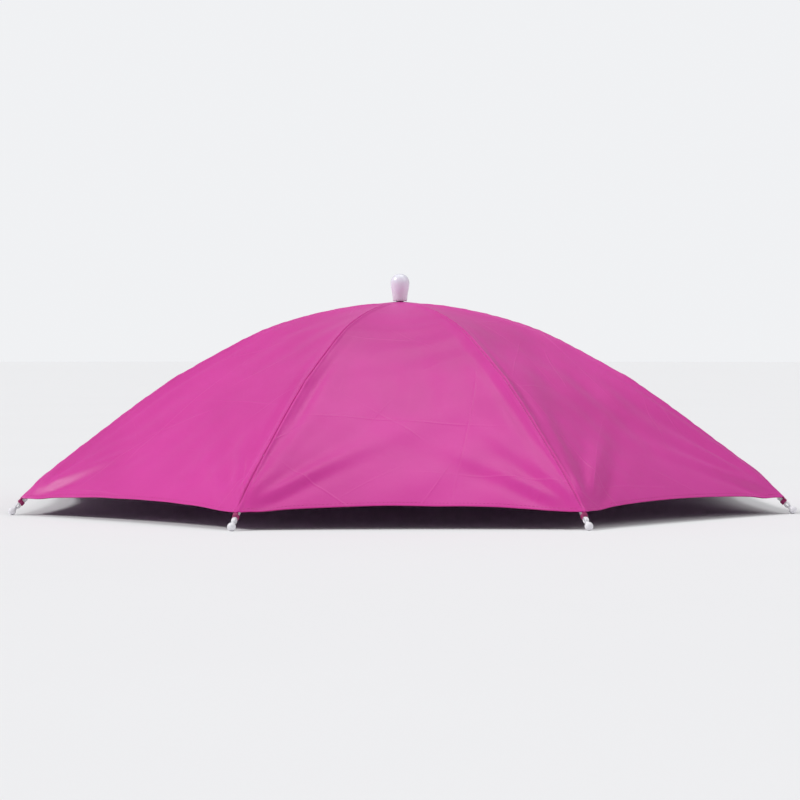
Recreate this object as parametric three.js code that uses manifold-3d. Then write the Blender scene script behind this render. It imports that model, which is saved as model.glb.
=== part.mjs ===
// Umbrella hat: a folding eight-rib sun canopy worn on the head, held by an oval headband on four arms.
// Millimetres, +Z up. The origin is on the surface the hat stands on, under the middle of its eight tips.
// The wearer faces -Y. Ribs stand 45 degrees apart, and the front gore lies across -Y.

import * as THREE from 'three';
import { mergeVertices } from 'three/addons/utils/BufferGeometryUtils.js';
import Module from 'manifold-3d';

// Driving dimensions
const TIP_SPAN = 650;
const RIB_COUNT = 8;
const FIRST_RIB_DEG = -112.5;
const BALL_RADIUS = 3;
const CLOTH = 1.0;
const GAP = 0.35;
const SEAM_GAP = 0.7;

// Canopy
const CORNER_RADIUS = 315.5;
const CENTRE_HOLE_RADIUS = 5;
const HEM_BOW = 7;
const GORE_DIP = 4.5;
const DIP_REACH = 0.8;
const GORE_COLUMNS = 8;
const GORE_ROWS = 12;

// Ribs, measured across and below the cloth, which falls away on both sides of each
const RIB_WIDTH = 3.4;
const RIB_DEPTH = 3.6;
const SEAM_FALL = 0.75;
const RIB_TOP = CLOTH / 2 + GAP + SEAM_FALL;
const WIRE_SIZE = 1.8;
const HUB_RADIUS = 13;
const RIB_START = 14;
const JOINT_START = 187;
const JOINT_END = 199;
const JOINT_WIDTH = 4.8;
const JOINT_DEPTH = 5.4;
const JOINT_DROP = 0.5;
const CHANNEL_END = 286;
const WIRE_GRIP = 4;
const INNER_RIB_STEPS = 10;
const OUTER_RIB_STEPS = 5;
const JOINT_STEPS = 2;

// Tip caps, along their own axis from the ball's centre
const CAP_RADIUS = 1.8;
const CAP_LENGTH = 14.5;
const CAP_NECK_RADIUS = 1.4;
const CAP_TILT_DEG = 41;
const CAP_TAPER = 2;
const CAP_SIDES = 10;
const BALL_ROWS = 7;
const BALL_ROWS_TO_LOWEST = 3;

// Headband and the arms it hangs on
const BAND_HALF_WIDTH = 75;
const BAND_HALF_LENGTH = 93.5;
const BAND_CENTRE_Y = 4;
const BAND_BOTTOM = 32.5;
const BAND_HEIGHT = 24;
const BAND_THICKNESS = 1.6;
const BAND_FACETS = 48;
const ANGLE_PASSES = 12;
const ARM_COUNT = 4;
const ARM_WIDTH = 7.5;
const ARM_THICKNESS = 1.4;
const ARM_TOP_RADIUS = 113;
const FOOT_WIDTH = 9;
const FOOT_PLATE = 1.5;
const FOOT_HOOK = 1.2;
const CHEEK_RADIUS = 4.2;
const CHEEK_PLATE = 1.2;
const CHEEK_DROP = 1.4;
const CHEEK_CORNERS = 10;
const CHEEK_CLEARANCE = 0.6;
const FOOT_OVERLAP = 8;
const FOOT_LEAN = 0.4;
const FOLD_WIDTH = 10;

// Hub and ferrule on the axis
const HUB_HEIGHT = 10;
const HUB_CHAMFER = 1;
const HUB_SHOULDER = 1.4;
const STEM_RADIUS = 3;
const STEM_TOP = 171.5;
const FERRULE_BORE_RADIUS = 3.4;
const TURNED_SIDES = 24;

// Care label: the gore it lies under, its patch of that gore and its thickness
const LABEL_GORE = 4;
const LABEL_PATCH = { left: 0.84, right: 0.95, top: 0.79, bottom: 0.825 };
const LABEL_THICKNESS = 1;
const LABEL_FACETS = 2;

const TIP_RING = TIP_SPAN / 2 - BALL_RADIUS;
const RIB_STEP = (2 * Math.PI) / RIB_COUNT;
const HALF_STEP = RIB_STEP / 2;
const FIRST_RIB = THREE.MathUtils.degToRad(FIRST_RIB_DEG);
const BAND_MIDDLE = BAND_BOTTOM + BAND_HEIGHT / 2;

// The seam over each rib, from the middle of the canopy to the tip: height is above the standing surface
const SEAM = [
  { radius: 0, height: 165 },
  { radius: 50, height: 159 },
  { radius: 100, height: 147.2 },
  { radius: 115, height: 142.2 },
  { radius: 130, height: 135.8 },
  { radius: 150, height: 125.8 },
  { radius: 190, height: 104.2 },
  { radius: 205, height: 95 },
  { radius: 250, height: 63.6 },
  { radius: 300, height: 25.8 },
  { radius: 322, height: 6.6 },
];

// Ferrule outline on the axis, from its mouth up to its crown
const FERRULE_OUTLINE = [
  { radius: 5.8, height: 165.9 },
  { radius: 6.0, height: 168.4 },
  { radius: 6.35, height: 171.0 },
  { radius: 6.9, height: 174.2 },
  { radius: 7.4, height: 177.2 },
  { radius: 7.65, height: 179.6 },
  { radius: 7.2, height: 182.4 },
  { radius: 5.6, height: 185.2 },
  { radius: 3.0, height: 186.9 },
];
const FERRULE_TOP = 187.4;

const wasm = await Module();
wasm.setup();

const colours = {
  canopy_cloth: { color: 0xde4ba2, roughness: 0.45, metalness: 0 },
  rib_steel: { color: 0x18181b, roughness: 0.4, metalness: 0.6 },
  band_elastic: { color: 0x0e0e10, roughness: 0.9, metalness: 0 },
  black_plastic: { color: 0x121214, roughness: 0.45, metalness: 0 },
  tip_plastic: { color: 0xece8f0, roughness: 0.35, metalness: 0 },
  ferrule_plastic: { color: 0xe6e1f5, roughness: 0.25, metalness: 0 },
  label_tape: { color: 0xf2f0f2, roughness: 0.7, metalness: 0 },
};

function meshOf(name, geometry, slot) {
  const mesh = new THREE.Mesh(geometry, new THREE.MeshStandardMaterial(colours[slot]));
  mesh.name = name;
  return mesh;
}

// Slope of the seam table at one row, by central difference
function rowSlope(index) {
  const before = SEAM[Math.max(index - 1, 0)];
  const after = SEAM[Math.min(index + 1, SEAM.length - 1)];
  return (after.height - before.height) / (after.radius - before.radius);
}

// Seam height at a radius, as a cubic through the table's rows
function seamHeight(radius) {
  let index = 0;
  while (index < SEAM.length - 2 && radius > SEAM[index + 1].radius) index += 1;
  const low = SEAM[index];
  const high = SEAM[index + 1];
  const span = high.radius - low.radius;
  const t = (radius - low.radius) / span;
  const startPart = (1 + 2 * t) * (1 - t) ** 2 * low.height + t * (1 - t) ** 2 * span * rowSlope(index);
  const endPart = t * t * (3 - 2 * t) * high.height + t * t * (t - 1) * span * rowSlope(index + 1);
  return startPart + endPart;
}

// A point below the seam, along the seam's own normal in the rib's upright plane
function belowSeam(radius, depth) {
  const slope = seamHeight(radius + 0.5) - seamHeight(radius - 0.5);
  const length = Math.hypot(slope, 1);
  return new THREE.Vector2(radius + (slope / length) * depth, seamHeight(radius) - depth / length);
}

// A point of one gore: across runs from -1 to 1 between its ribs, along from 0 at the centre to 1 at the hem
function gorePoint(middle, across, along, depth) {
  const bow = HEM_BOW * (1 - across * across);
  const radius = CENTRE_HOLE_RADIUS + (CORNER_RADIUS - bow - CENTRE_HOLE_RADIUS) * along;
  const dip = GORE_DIP * (1 - across * across) * Math.sin(Math.PI * along * DIP_REACH);
  const sunk = belowSeam(radius, depth + dip);
  const outward = sunk.x * Math.cos(HALF_STEP);
  const sideways = across * (radius * Math.sin(HALF_STEP) - SEAM_GAP / 2);
  const x = outward * Math.cos(middle) - sideways * Math.sin(middle);
  const y = outward * Math.sin(middle) + sideways * Math.cos(middle);
  return [x, y, sunk.y];
}

// A closed wall from a patch of a gore, with its outer and inner faces at two depths under the seam
function goreWall(middle, patch, outerDepth, innerDepth, columns, rows) {
  const positions = [];
  for (const depth of [outerDepth, innerDepth]) {
    for (let row = 0; row <= rows; row += 1) {
      for (let column = 0; column <= columns; column += 1) {
        const across = THREE.MathUtils.lerp(patch.left, patch.right, column / columns);
        const along = THREE.MathUtils.lerp(patch.top, patch.bottom, row / rows);
        positions.push(...gorePoint(middle, across, along, depth));
      }
    }
  }
  const faces = [];
  const layer = (rows + 1) * (columns + 1);
  const at = (side, row, column) => side * layer + row * (columns + 1) + column;
  const quad = (a, b, c, d) => faces.push(a, b, c, a, c, d);
  for (let row = 0; row < rows; row += 1) {
    for (let column = 0; column < columns; column += 1) {
      quad(at(0, row, column), at(0, row + 1, column), at(0, row + 1, column + 1), at(0, row, column + 1));
      quad(at(1, row, column), at(1, row, column + 1), at(1, row + 1, column + 1), at(1, row + 1, column));
    }
    quad(at(0, row, 0), at(1, row, 0), at(1, row + 1, 0), at(0, row + 1, 0));
    quad(at(0, row, columns), at(0, row + 1, columns), at(1, row + 1, columns), at(1, row, columns));
  }
  for (let column = 0; column < columns; column += 1) {
    quad(at(0, 0, column), at(0, 0, column + 1), at(1, 0, column + 1), at(1, 0, column));
    quad(at(0, rows, column), at(1, rows, column), at(1, rows, column + 1), at(0, rows, column + 1));
  }
  const geometry = new THREE.BufferGeometry();
  geometry.setAttribute('position', new THREE.Float32BufferAttribute(positions, 3));
  geometry.setIndex(faces);
  return geometry;
}

// An outline in the upright plane through the axis, given as radius and height, made a plate of one width
function uprightPlate(outline, width) {
  const plate = new THREE.ExtrudeGeometry(new THREE.Shape(outline), { depth: width, bevelEnabled: false });
  plate.translate(0, 0, -width / 2);
  plate.rotateX(Math.PI / 2);
  return plate;
}

// A strip of one depth that follows the seam between two radii
function seamStrip(start, end, top, depth, steps) {
  const outline = [];
  for (let step = 0; step <= steps; step += 1) {
    outline.push(belowSeam(THREE.MathUtils.lerp(start, end, step / steps), top));
  }
  for (let step = steps; step >= 0; step -= 1) {
    outline.push(belowSeam(THREE.MathUtils.lerp(start, end, step / steps), top + depth));
  }
  return outline;
}

// Joins closed geometries into one solid
function joined(geometries) {
  let solid = null;
  for (const source of geometries) {
    const bare = source.clone();
    bare.deleteAttribute('normal');
    bare.deleteAttribute('uv');
    const merged = mergeVertices(bare, 1e-4);
    const piece = new wasm.Manifold(new wasm.Mesh({
      numProp: 3,
      vertProperties: new Float32Array(merged.attributes.position.array),
      triVerts: new Uint32Array(merged.index.array),
    }));
    solid = solid ? solid.add(piece) : piece;
  }
  const result = solid.getMesh();
  const geometry = new THREE.BufferGeometry();
  geometry.setAttribute('position', new THREE.BufferAttribute(new Float32Array(result.vertProperties), 3));
  geometry.setIndex(new THREE.BufferAttribute(new Uint32Array(result.triVerts), 1));
  return geometry;
}

function ribAngle(index) {
  return FIRST_RIB + index * RIB_STEP;
}

const hat = new THREE.Group();

// Eight sewn gores, each between two ribs, with a sewing gap over the rib
function addGores() {
  for (let index = 0; index < RIB_COUNT; index += 1) {
    const middle = ribAngle(index) + HALF_STEP;
    const patch = { left: -1, right: 1, top: 0, bottom: 1 };
    const wall = goreWall(middle, patch, -CLOTH / 2, CLOTH / 2, GORE_COLUMNS, GORE_ROWS);
    hat.add(meshOf(`gore_${index + 1}`, wall, 'canopy_cloth'));
  }
}

// Each rib: an inner channel from the hub, a folding joint, and an outer channel that ends in a thin wire
function addRibs() {
  const wireEnd = capAxisPoint(CAP_LENGTH + GAP);
  const wireStart = belowSeam(CHANNEL_END - WIRE_GRIP, RIB_TOP + RIB_DEPTH / 2);
  for (let index = 0; index < RIB_COUNT; index += 1) {
    const rib = new THREE.Group();
    rib.rotation.z = ribAngle(index);
    const inner = seamStrip(RIB_START, JOINT_START - GAP, RIB_TOP, RIB_DEPTH, INNER_RIB_STEPS);
    rib.add(meshOf(`rib_inner_${index + 1}`, uprightPlate(inner, RIB_WIDTH), 'rib_steel'));
    const joint = seamStrip(JOINT_START, JOINT_END, RIB_TOP + JOINT_DROP, JOINT_DEPTH, JOINT_STEPS);
    rib.add(meshOf(`rib_joint_${index + 1}`, uprightPlate(joint, JOINT_WIDTH), 'rib_steel'));
    const outer = seamStrip(JOINT_END + GAP, CHANNEL_END, RIB_TOP, RIB_DEPTH, OUTER_RIB_STEPS);
    const channel = uprightPlate(outer, RIB_WIDTH);
    const wire = uprightPlate(straightStrip(wireStart, wireEnd, WIRE_SIZE), WIRE_SIZE);
    rib.add(meshOf(`rib_outer_${index + 1}`, joined([channel, wire]), 'rib_steel'));
    hat.add(rib);
  }
}

// A straight strip between two points of the upright plane
function straightStrip(start, end, thickness) {
  const along = end.clone().sub(start).normalize();
  const side = new THREE.Vector2(-along.y, along.x).multiplyScalar(thickness / 2);
  return [start.clone().sub(side), end.clone().sub(side), end.clone().add(side), start.clone().add(side)];
}

// A point of a tip cap's axis in the rib's upright plane, a distance in from its ball's centre
function capAxisPoint(distance) {
  const tilt = THREE.MathUtils.degToRad(CAP_TILT_DEG);
  return new THREE.Vector2(TIP_RING - distance * Math.cos(tilt), BALL_RADIUS + distance * Math.sin(tilt));
}

// Each tip cap is turned about its own axis: a ball, a neck and a slim body under the canopy's corner.
// The ball's rows are spaced so that one of its corners is its lowest point, on which the hat stands.
function addTips() {
  const lowest = THREE.MathUtils.degToRad(90 - CAP_TILT_DEG);
  const outline = [new THREE.Vector2(0, -BALL_RADIUS)];
  for (let row = 1; row <= BALL_ROWS; row += 1) {
    const polar = (row * lowest) / BALL_ROWS_TO_LOWEST;
    outline.push(new THREE.Vector2(BALL_RADIUS * Math.sin(polar), -BALL_RADIUS * Math.cos(polar)));
  }
  outline.push(new THREE.Vector2(CAP_NECK_RADIUS, BALL_RADIUS));
  outline.push(new THREE.Vector2(CAP_RADIUS, BALL_RADIUS + CAP_TAPER));
  outline.push(new THREE.Vector2(CAP_RADIUS, CAP_LENGTH - CAP_TAPER));
  outline.push(new THREE.Vector2(CAP_NECK_RADIUS, CAP_LENGTH));
  outline.push(new THREE.Vector2(0, CAP_LENGTH));
  for (let index = 0; index < RIB_COUNT; index += 1) {
    const rib = new THREE.Group();
    rib.rotation.z = ribAngle(index);
    const cap = meshOf(`tip_${index + 1}`, new THREE.LatheGeometry(outline, CAP_SIDES), 'tip_plastic');
    cap.rotation.z = Math.PI / 2;
    const lean = new THREE.Group();
    lean.position.set(TIP_RING, 0, BALL_RADIUS);
    lean.rotation.y = THREE.MathUtils.degToRad(CAP_TILT_DEG);
    lean.add(cap);
    rib.add(lean);
    hat.add(rib);
  }
}

// A point of the headband's oval, a distance in from its outer face
function bandPoint(parameter, inset) {
  const x = (BAND_HALF_WIDTH - inset) * Math.cos(parameter);
  const y = BAND_CENTRE_Y + (BAND_HALF_LENGTH - inset) * Math.sin(parameter);
  return new THREE.Vector2(x, y);
}

// The oval's parameter where a ray from the axis, at a plan angle, meets its outer face
function bandParameter(angle) {
  let parameter = angle;
  for (let pass = 0; pass < ANGLE_PASSES; pass += 1) {
    const point = bandPoint(parameter, 0);
    const miss = angle - Math.atan2(point.y, point.x);
    parameter += Math.atan2(Math.sin(miss), Math.cos(miss));
  }
  return parameter;
}

// A stretch of band between two parameters, upright, between two insets from the oval's outer face.
// Its facets keep to one pattern round the whole oval, with a flat one across the middle of the front.
function bandStretch(start, end, outerInset, innerInset) {
  const facet = (2 * Math.PI) / BAND_FACETS;
  const corners = [start];
  for (let corner = (Math.ceil(start / facet) + 0.5) * facet; corner < end - facet / 4; corner += facet) {
    corners.push(corner);
  }
  corners.push(end);
  const outer = corners.map((corner) => bandPoint(corner, outerInset));
  const inner = corners.map((corner) => bandPoint(corner, innerInset)).reverse();
  const outline = new THREE.Shape([...outer, ...inner]);
  const stretch = new THREE.ExtrudeGeometry(outline, { depth: BAND_HEIGHT, bevelEnabled: false });
  stretch.translate(0, 0, BAND_BOTTOM);
  return stretch;
}

// The headband is elastic across the front and plain webbing round the back, joined under two of the arms
function addHeadband() {
  const turn = 2 * Math.PI;
  const startOfFront = bandParameter(ribAngle(0));
  const endOfFront = bandParameter(ribAngle(2));
  const join = GAP / 2 / BAND_HALF_WIDTH;
  const front = bandStretch(startOfFront + join, endOfFront - join, 0, BAND_THICKNESS);
  hat.add(meshOf('headband_elastic', front, 'band_elastic'));
  const back = bandStretch(endOfFront + join, startOfFront + turn - join, 0, BAND_THICKNESS);
  hat.add(meshOf('headband_webbing', back, 'band_elastic'));
  const foldStart = endOfFront - (FOOT_WIDTH / 2 + GAP + FOLD_WIDTH) / BAND_HALF_LENGTH - 2 * join;
  const foldEnd = foldStart + FOLD_WIDTH / BAND_HALF_LENGTH;
  const fold = bandStretch(foldStart, foldEnd, -GAP - BAND_THICKNESS, -GAP);
  hat.add(meshOf('elastic_fold', fold, 'band_elastic'));
}

// An arm: a clip round the band, a flat strip that leans out to a rib, and two cheeks beside that rib
function armGeometry(angle) {
  const parameter = bandParameter(angle);
  const hold = bandPoint(parameter, 0);
  const tangentX = -BAND_HALF_WIDTH * Math.sin(parameter);
  const tangentY = BAND_HALF_LENGTH * Math.cos(parameter);
  const facing = Math.atan2(-tangentX, tangentY);
  const reach = BAND_THICKNESS + GAP;
  const inside = BAND_HEIGHT / 2 + GAP;
  const outside = inside + FOOT_HOOK;
  const plate = GAP + FOOT_PLATE;
  const clipOutline = [
    [-reach, -outside], [plate, -outside], [plate, outside], [-reach, outside],
    [-reach, inside], [GAP, inside], [GAP, -inside], [-reach, -inside],
  ].map(([x, y]) => new THREE.Vector2(x, y));
  const clip = uprightPlate(clipOutline, FOOT_WIDTH);
  clip.rotateZ(facing);
  clip.translate(hold.x, hold.y, BAND_MIDDLE);

  const holdRadius = hold.length();
  const foot = new THREE.Vector2(holdRadius + plate, BAND_MIDDLE - FOOT_OVERLAP);
  const bend = new THREE.Vector2(holdRadius + plate + FOOT_LEAN, BAND_MIDDLE + outside + FOOT_HOOK);
  const top = belowSeam(ARM_TOP_RADIUS, RIB_TOP + RIB_DEPTH + GAP + ARM_THICKNESS / 2);
  const centreLine = [foot, bend, top];
  const outer = centreLine.map((point) => new THREE.Vector2(point.x + ARM_THICKNESS / 2, point.y));
  const inner = centreLine.map((point) => new THREE.Vector2(point.x - ARM_THICKNESS / 2, point.y));
  const strip = uprightPlate([...outer, ...inner.reverse()], ARM_WIDTH);

  const cheeks = [-1, 1].map((side) => {
    const cheek = uprightPlate(cheekOutline(), CHEEK_PLATE);
    cheek.translate(0, side * (RIB_WIDTH / 2 + GAP + CHEEK_PLATE / 2), 0);
    return cheek;
  });
  for (const piece of [strip, ...cheeks]) piece.rotateZ(angle);
  return joined([clip, strip, ...cheeks]);
}

// A round cheek about the arm's pin, cut off level with the top of the rib so that it clears the cloth
function cheekOutline() {
  const pin = belowSeam(ARM_TOP_RADIUS, RIB_TOP + RIB_DEPTH / 2);
  const nearRoof = belowSeam(ARM_TOP_RADIUS - CHEEK_RADIUS, RIB_TOP + CHEEK_CLEARANCE);
  const farRoof = belowSeam(ARM_TOP_RADIUS + CHEEK_RADIUS, RIB_TOP + CHEEK_CLEARANCE);
  const roofSlope = (farRoof.y - nearRoof.y) / (farRoof.x - nearRoof.x);
  const outline = [];
  for (let corner = 0; corner < CHEEK_CORNERS; corner += 1) {
    const turn = (corner / CHEEK_CORNERS) * 2 * Math.PI;
    const x = pin.x + CHEEK_RADIUS * Math.cos(turn);
    const y = pin.y - CHEEK_DROP + CHEEK_RADIUS * Math.sin(turn);
    outline.push(new THREE.Vector2(x, Math.min(y, nearRoof.y + roofSlope * (x - nearRoof.x))));
  }
  return outline;
}

function addArms() {
  for (let index = 0; index < ARM_COUNT; index += 1) {
    hat.add(meshOf(`arm_${index + 1}`, armGeometry(ribAngle(2 * index)), 'black_plastic'));
  }
}

// The hub under the canopy's middle, with a stem that passes the cloth and holds the ferrule
function addHub() {
  const top = seamHeight(CENTRE_HOLE_RADIUS) - CLOTH / 2 - GAP;
  const bottom = top - HUB_HEIGHT;
  const outline = [
    [0, bottom], [HUB_RADIUS - HUB_CHAMFER, bottom], [HUB_RADIUS, bottom + HUB_CHAMFER],
    [HUB_RADIUS, top - HUB_SHOULDER], [STEM_RADIUS, top], [STEM_RADIUS, STEM_TOP], [0, STEM_TOP],
  ].map(([radius, height]) => new THREE.Vector2(radius, height));
  hat.add(upright(meshOf('hub', new THREE.LatheGeometry(outline, TURNED_SIDES), 'black_plastic')));
}

// The egg-shaped ferrule, open below over the stem
function addFerrule() {
  const mouth = FERRULE_OUTLINE[0].height;
  const outline = [
    new THREE.Vector2(0, STEM_TOP + GAP),
    new THREE.Vector2(FERRULE_BORE_RADIUS, STEM_TOP + GAP),
    new THREE.Vector2(FERRULE_BORE_RADIUS, mouth),
    ...FERRULE_OUTLINE.map((row) => new THREE.Vector2(row.radius, row.height)),
    new THREE.Vector2(0, FERRULE_TOP),
  ];
  hat.add(upright(meshOf('ferrule', new THREE.LatheGeometry(outline, TURNED_SIDES), 'ferrule_plastic')));
}

// Stands a lathed mesh, whose axis is Y, along Z
function upright(mesh) {
  mesh.rotation.x = Math.PI / 2;
  return mesh;
}

// A bare tape label sewn beside one rib, just under the cloth
function addLabel() {
  const middle = ribAngle(LABEL_GORE) + HALF_STEP;
  const near = CLOTH / 2 + GAP;
  const far = near + LABEL_THICKNESS;
  const tape = goreWall(middle, LABEL_PATCH, near, far, LABEL_FACETS, LABEL_FACETS);
  hat.add(meshOf('care_label', tape, 'label_tape'));
}

addGores();
addRibs();
addTips();
addHeadband();
addArms();
addHub();
addFerrule();
addLabel();

export default hat;
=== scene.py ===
"""Umbrella hat: the looks of an open eight-rib sun canopy on a headband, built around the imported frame.

Shapes are worked out in millimetres in the frame's own axes and written to meshes in metres.
Ribs stand 45 degrees apart, the wearer faces -Y, and the hat stands on the balls of its eight tips.
"""

import math

import bpy
import numpy as np
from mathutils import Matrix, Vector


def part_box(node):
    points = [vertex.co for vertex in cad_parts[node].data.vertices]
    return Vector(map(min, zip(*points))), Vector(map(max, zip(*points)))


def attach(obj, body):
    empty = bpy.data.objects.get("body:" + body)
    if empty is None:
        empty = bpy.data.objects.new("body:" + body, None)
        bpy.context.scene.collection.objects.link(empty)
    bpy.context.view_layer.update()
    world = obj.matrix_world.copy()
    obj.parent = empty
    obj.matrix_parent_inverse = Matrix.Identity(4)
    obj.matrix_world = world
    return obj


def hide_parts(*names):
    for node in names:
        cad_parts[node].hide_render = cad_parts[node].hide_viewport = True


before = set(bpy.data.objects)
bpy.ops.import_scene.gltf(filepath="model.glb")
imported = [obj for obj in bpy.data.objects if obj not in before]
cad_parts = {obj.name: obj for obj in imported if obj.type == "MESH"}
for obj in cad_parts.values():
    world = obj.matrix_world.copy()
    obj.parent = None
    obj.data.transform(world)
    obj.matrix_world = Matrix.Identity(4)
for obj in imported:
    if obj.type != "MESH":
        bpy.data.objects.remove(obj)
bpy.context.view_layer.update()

MM = 0.001
RIBS = 8
RIB_STEP = math.tau / RIBS
HALF_STEP = RIB_STEP / 2
FIRST_RIB = math.radians(-112.5)
ARM_RIBS = (0, 2, 4, 6)
UP = np.array([0.0, 0.0, 1.0])
ALONG_X = np.array([1.0, 0.0, 0.0])
AXIS_FOOT = np.zeros(3)

# Sizes are in millimetres from here on. Those of the frame are read from it
BALL_RADIUS = 3.0
TIP_RING = round((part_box("tip_4")[1].x / MM - BALL_RADIUS) / math.cos(HALF_STEP))
BAND_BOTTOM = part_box("headband_webbing")[0].z / MM
BAND_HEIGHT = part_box("headband_webbing")[1].z / MM - BAND_BOTTOM
BAND_MIDDLE = BAND_BOTTOM + BAND_HEIGHT / 2
FERRULE_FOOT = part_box("ferrule")[0].z / MM
FERRULE_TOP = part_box("ferrule")[1].z / MM
HUB_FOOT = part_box("hub")[0].z / MM

# The seam over each rib: radius from the axis against height above the floor
SEAM_RADIUS = np.array([0.0, 50, 100, 115, 130, 150, 190, 205, 250, 300, 322])
SEAM_HEIGHT = np.array([165, 159, 147.2, 142.2, 135.8, 125.8, 104.2, 95, 63.6, 25.8, 6.6])
SEAM_SLOPE = np.gradient(SEAM_HEIGHT, SEAM_RADIUS)

# The canopy: its corners, its hole, how far its hem bows in, and how its middle dips between the ribs
CORNER_RADIUS = 315.5
CENTRE_HOLE_RADIUS = 5.0
HEM_BOW = 7.0
GORE_DIP = 4.5
DIP_REACH = 0.8
CLOTH = 0.4

# The ribs: their depth under the seam, their section, their joints' place and the slope of the tip caps
RIB_TOP = 1.6
RIB_WIDTH = 3.4
RIB_DEPTH = 3.6
RIB_MIDDLE = RIB_TOP + RIB_DEPTH / 2
JOINT_START = 187.0
JOINT_END = 199.0
JOINT_MIDDLE = (JOINT_START + JOINT_END) / 2
CHANNEL_END = 286.0
CAP_TILT = math.radians(41)

# The headband: an oval in plan, with its arms' radius at the ribs and the room round each part of them
BAND_HALF_WIDTH = 75.0
BAND_HALF_LENGTH = 93.5
BAND_CENTRE_Y = 4.0
BAND_THICKNESS = 1.6
ARM_TOP_RADIUS = 113.0
GAP = 0.35


def rib_angle(index):
    """Plan angle of a rib: the first one's, and an eighth of a turn more for each."""
    return FIRST_RIB + index * RIB_STEP


# Curves and places

def seam_height(radius):
    """Height of the seam: a cubic between the rows of the seam table, with the table's own slopes."""
    radius = np.asarray(radius, float)
    low = np.clip(np.searchsorted(SEAM_RADIUS, radius, side="right") - 1, 0, len(SEAM_RADIUS) - 2)
    span = SEAM_RADIUS[low + 1] - SEAM_RADIUS[low]
    t = (radius - SEAM_RADIUS[low]) / span
    start = (1 + 2 * t) * (1 - t) ** 2 * SEAM_HEIGHT[low] + t * (1 - t) ** 2 * span * SEAM_SLOPE[low]
    end = t * t * (3 - 2 * t) * SEAM_HEIGHT[low + 1] + t * t * (t - 1) * span * SEAM_SLOPE[low + 1]
    return start + end


def below_seam(radius, depth):
    """Radius and height of a point under the seam, along the seam's normal in the rib's upright plane."""
    slope = seam_height(np.asarray(radius) + 0.5) - seam_height(np.asarray(radius) - 0.5)
    length = np.hypot(slope, 1)
    return radius + slope / length * depth, seam_height(radius) - depth / length


def stand(radius, height, angle, across=0.0):
    """Points of a rib's upright plane as x, y, z: out along the rib's angle, up, and across it."""
    radius, height, across = np.broadcast_arrays(*(np.asarray(v, float) for v in (radius, height, across)))
    x = radius * math.cos(angle) - across * math.sin(angle)
    y = radius * math.sin(angle) + across * math.cos(angle)
    return np.stack([x, y, height], -1)


def across_rib(angle):
    """The level direction across a rib."""
    return stand(0, 0, angle, 1.0)


def slope_axes(start, end, angle):
    """Directions from one point of a rib's upright plane to another, and square to that, upwards."""
    run, rise = np.subtract(end, start)
    lean = math.atan2(rise, run)
    return stand(math.cos(lean), math.sin(lean), angle), stand(-math.sin(lean), math.cos(lean), angle)


def smooth(value, low, high):
    """0 below low, 1 above high, and a smooth cubic between."""
    t = np.clip((value - low) / (high - low), 0, 1)
    return t * t * (3 - 2 * t)


def bell(away, width=1.0):
    """A bell curve: exp(-(away / width) squared)."""
    return np.exp(-(away / width) ** 2)


# Shapes: each is a pair, its points in millimetres and its list of faces

def grid_faces(rows, columns, wrap_rows=False, wrap_columns=False):
    """Four-sided faces of a grid of points stored row by row, closed on itself where asked."""
    row = np.arange(rows if wrap_rows else rows - 1)[:, None]
    column = np.arange(columns if wrap_columns else columns - 1)[None, :]
    below, beside = (row + 1) % rows, (column + 1) % columns
    corners = [row * columns + column, row * columns + beside,
               below * columns + beside, below * columns + column]
    return np.stack([np.broadcast_to(c, (row.size, column.size)).ravel() for c in corners], -1)


def end_faces(rows, columns):
    """The two flat faces that close the ends of a tube."""
    return [list(range(columns))[::-1], [(rows - 1) * columns + i for i in range(columns)]]


def facing_out(points, faces):
    """The shape with its faces turned outwards: all are reversed if they enclose a negative volume.

    Six times the volume is the sum, over each face's edges, of first corner . (edge's start x edge's end).
    """
    sizes = np.array([len(face) for face in faces])
    ends = np.cumsum(sizes)
    corner = np.concatenate(faces)
    after = np.arange(len(corner)) + 1
    after[ends - 1] = ends - sizes
    first = np.repeat(corner[ends - sizes], sizes)
    volume = np.sum(points[first] * np.cross(points[corner], points[corner[after]]))
    return points, faces if volume > 0 else [face[::-1] for face in faces]


def sweep(section, path, across, up, closed=False):
    """A flat outline carried along a path: path + across * x + up * y. An open path gets flat ends."""
    section, path = np.asarray(section, float), np.asarray(path, float)
    if section.ndim == 2:
        section = np.broadcast_to(section, (len(path),) + section.shape)
    across, up = np.broadcast_to(across, path.shape), np.broadcast_to(up, path.shape)
    points = path[:, None] + section[..., :1] * across[:, None] + section[..., 1:] * up[:, None]
    rows, columns = section.shape[:2]
    faces = grid_faces(rows, columns, wrap_rows=closed, wrap_columns=True).tolist()
    if not closed:
        faces.extend(end_faces(rows, columns))
    return facing_out(points.reshape(-1, 3), faces)


def closed_rings(rings, poles):
    """Rings of points joined one to the next, the first and the last of them each closed to a pole."""
    rings = np.asarray(rings, float)
    rows, columns = rings.shape[:2]
    faces = grid_faces(rows, columns, wrap_columns=True).tolist()
    first_pole = rows * columns
    last_ring = first_pole - columns
    for step in range(columns):
        after = (step + 1) % columns
        faces.append([first_pole, after, step])
        faces.append([first_pole + 1, last_ring + step, last_ring + after])
    return facing_out(np.concatenate([rings.reshape(-1, 3), poles]), faces)


def revolve(profile, steps, origin, axis, side):
    """A profile of radius and distance along an axis, turned about it. Its first and last rows are poles."""
    profile = np.asarray(profile, float)
    turn = np.arange(steps) * math.tau / steps
    around = np.cos(turn)[:, None] * side + np.sin(turn)[:, None] * np.cross(axis, side)
    rows = profile[1:-1]
    rings = origin + rows[:, None, 1:] * axis + rows[:, None, :1] * around
    return closed_rings(rings, origin + profile[[0, -1], 1][:, None] * axis)


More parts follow.
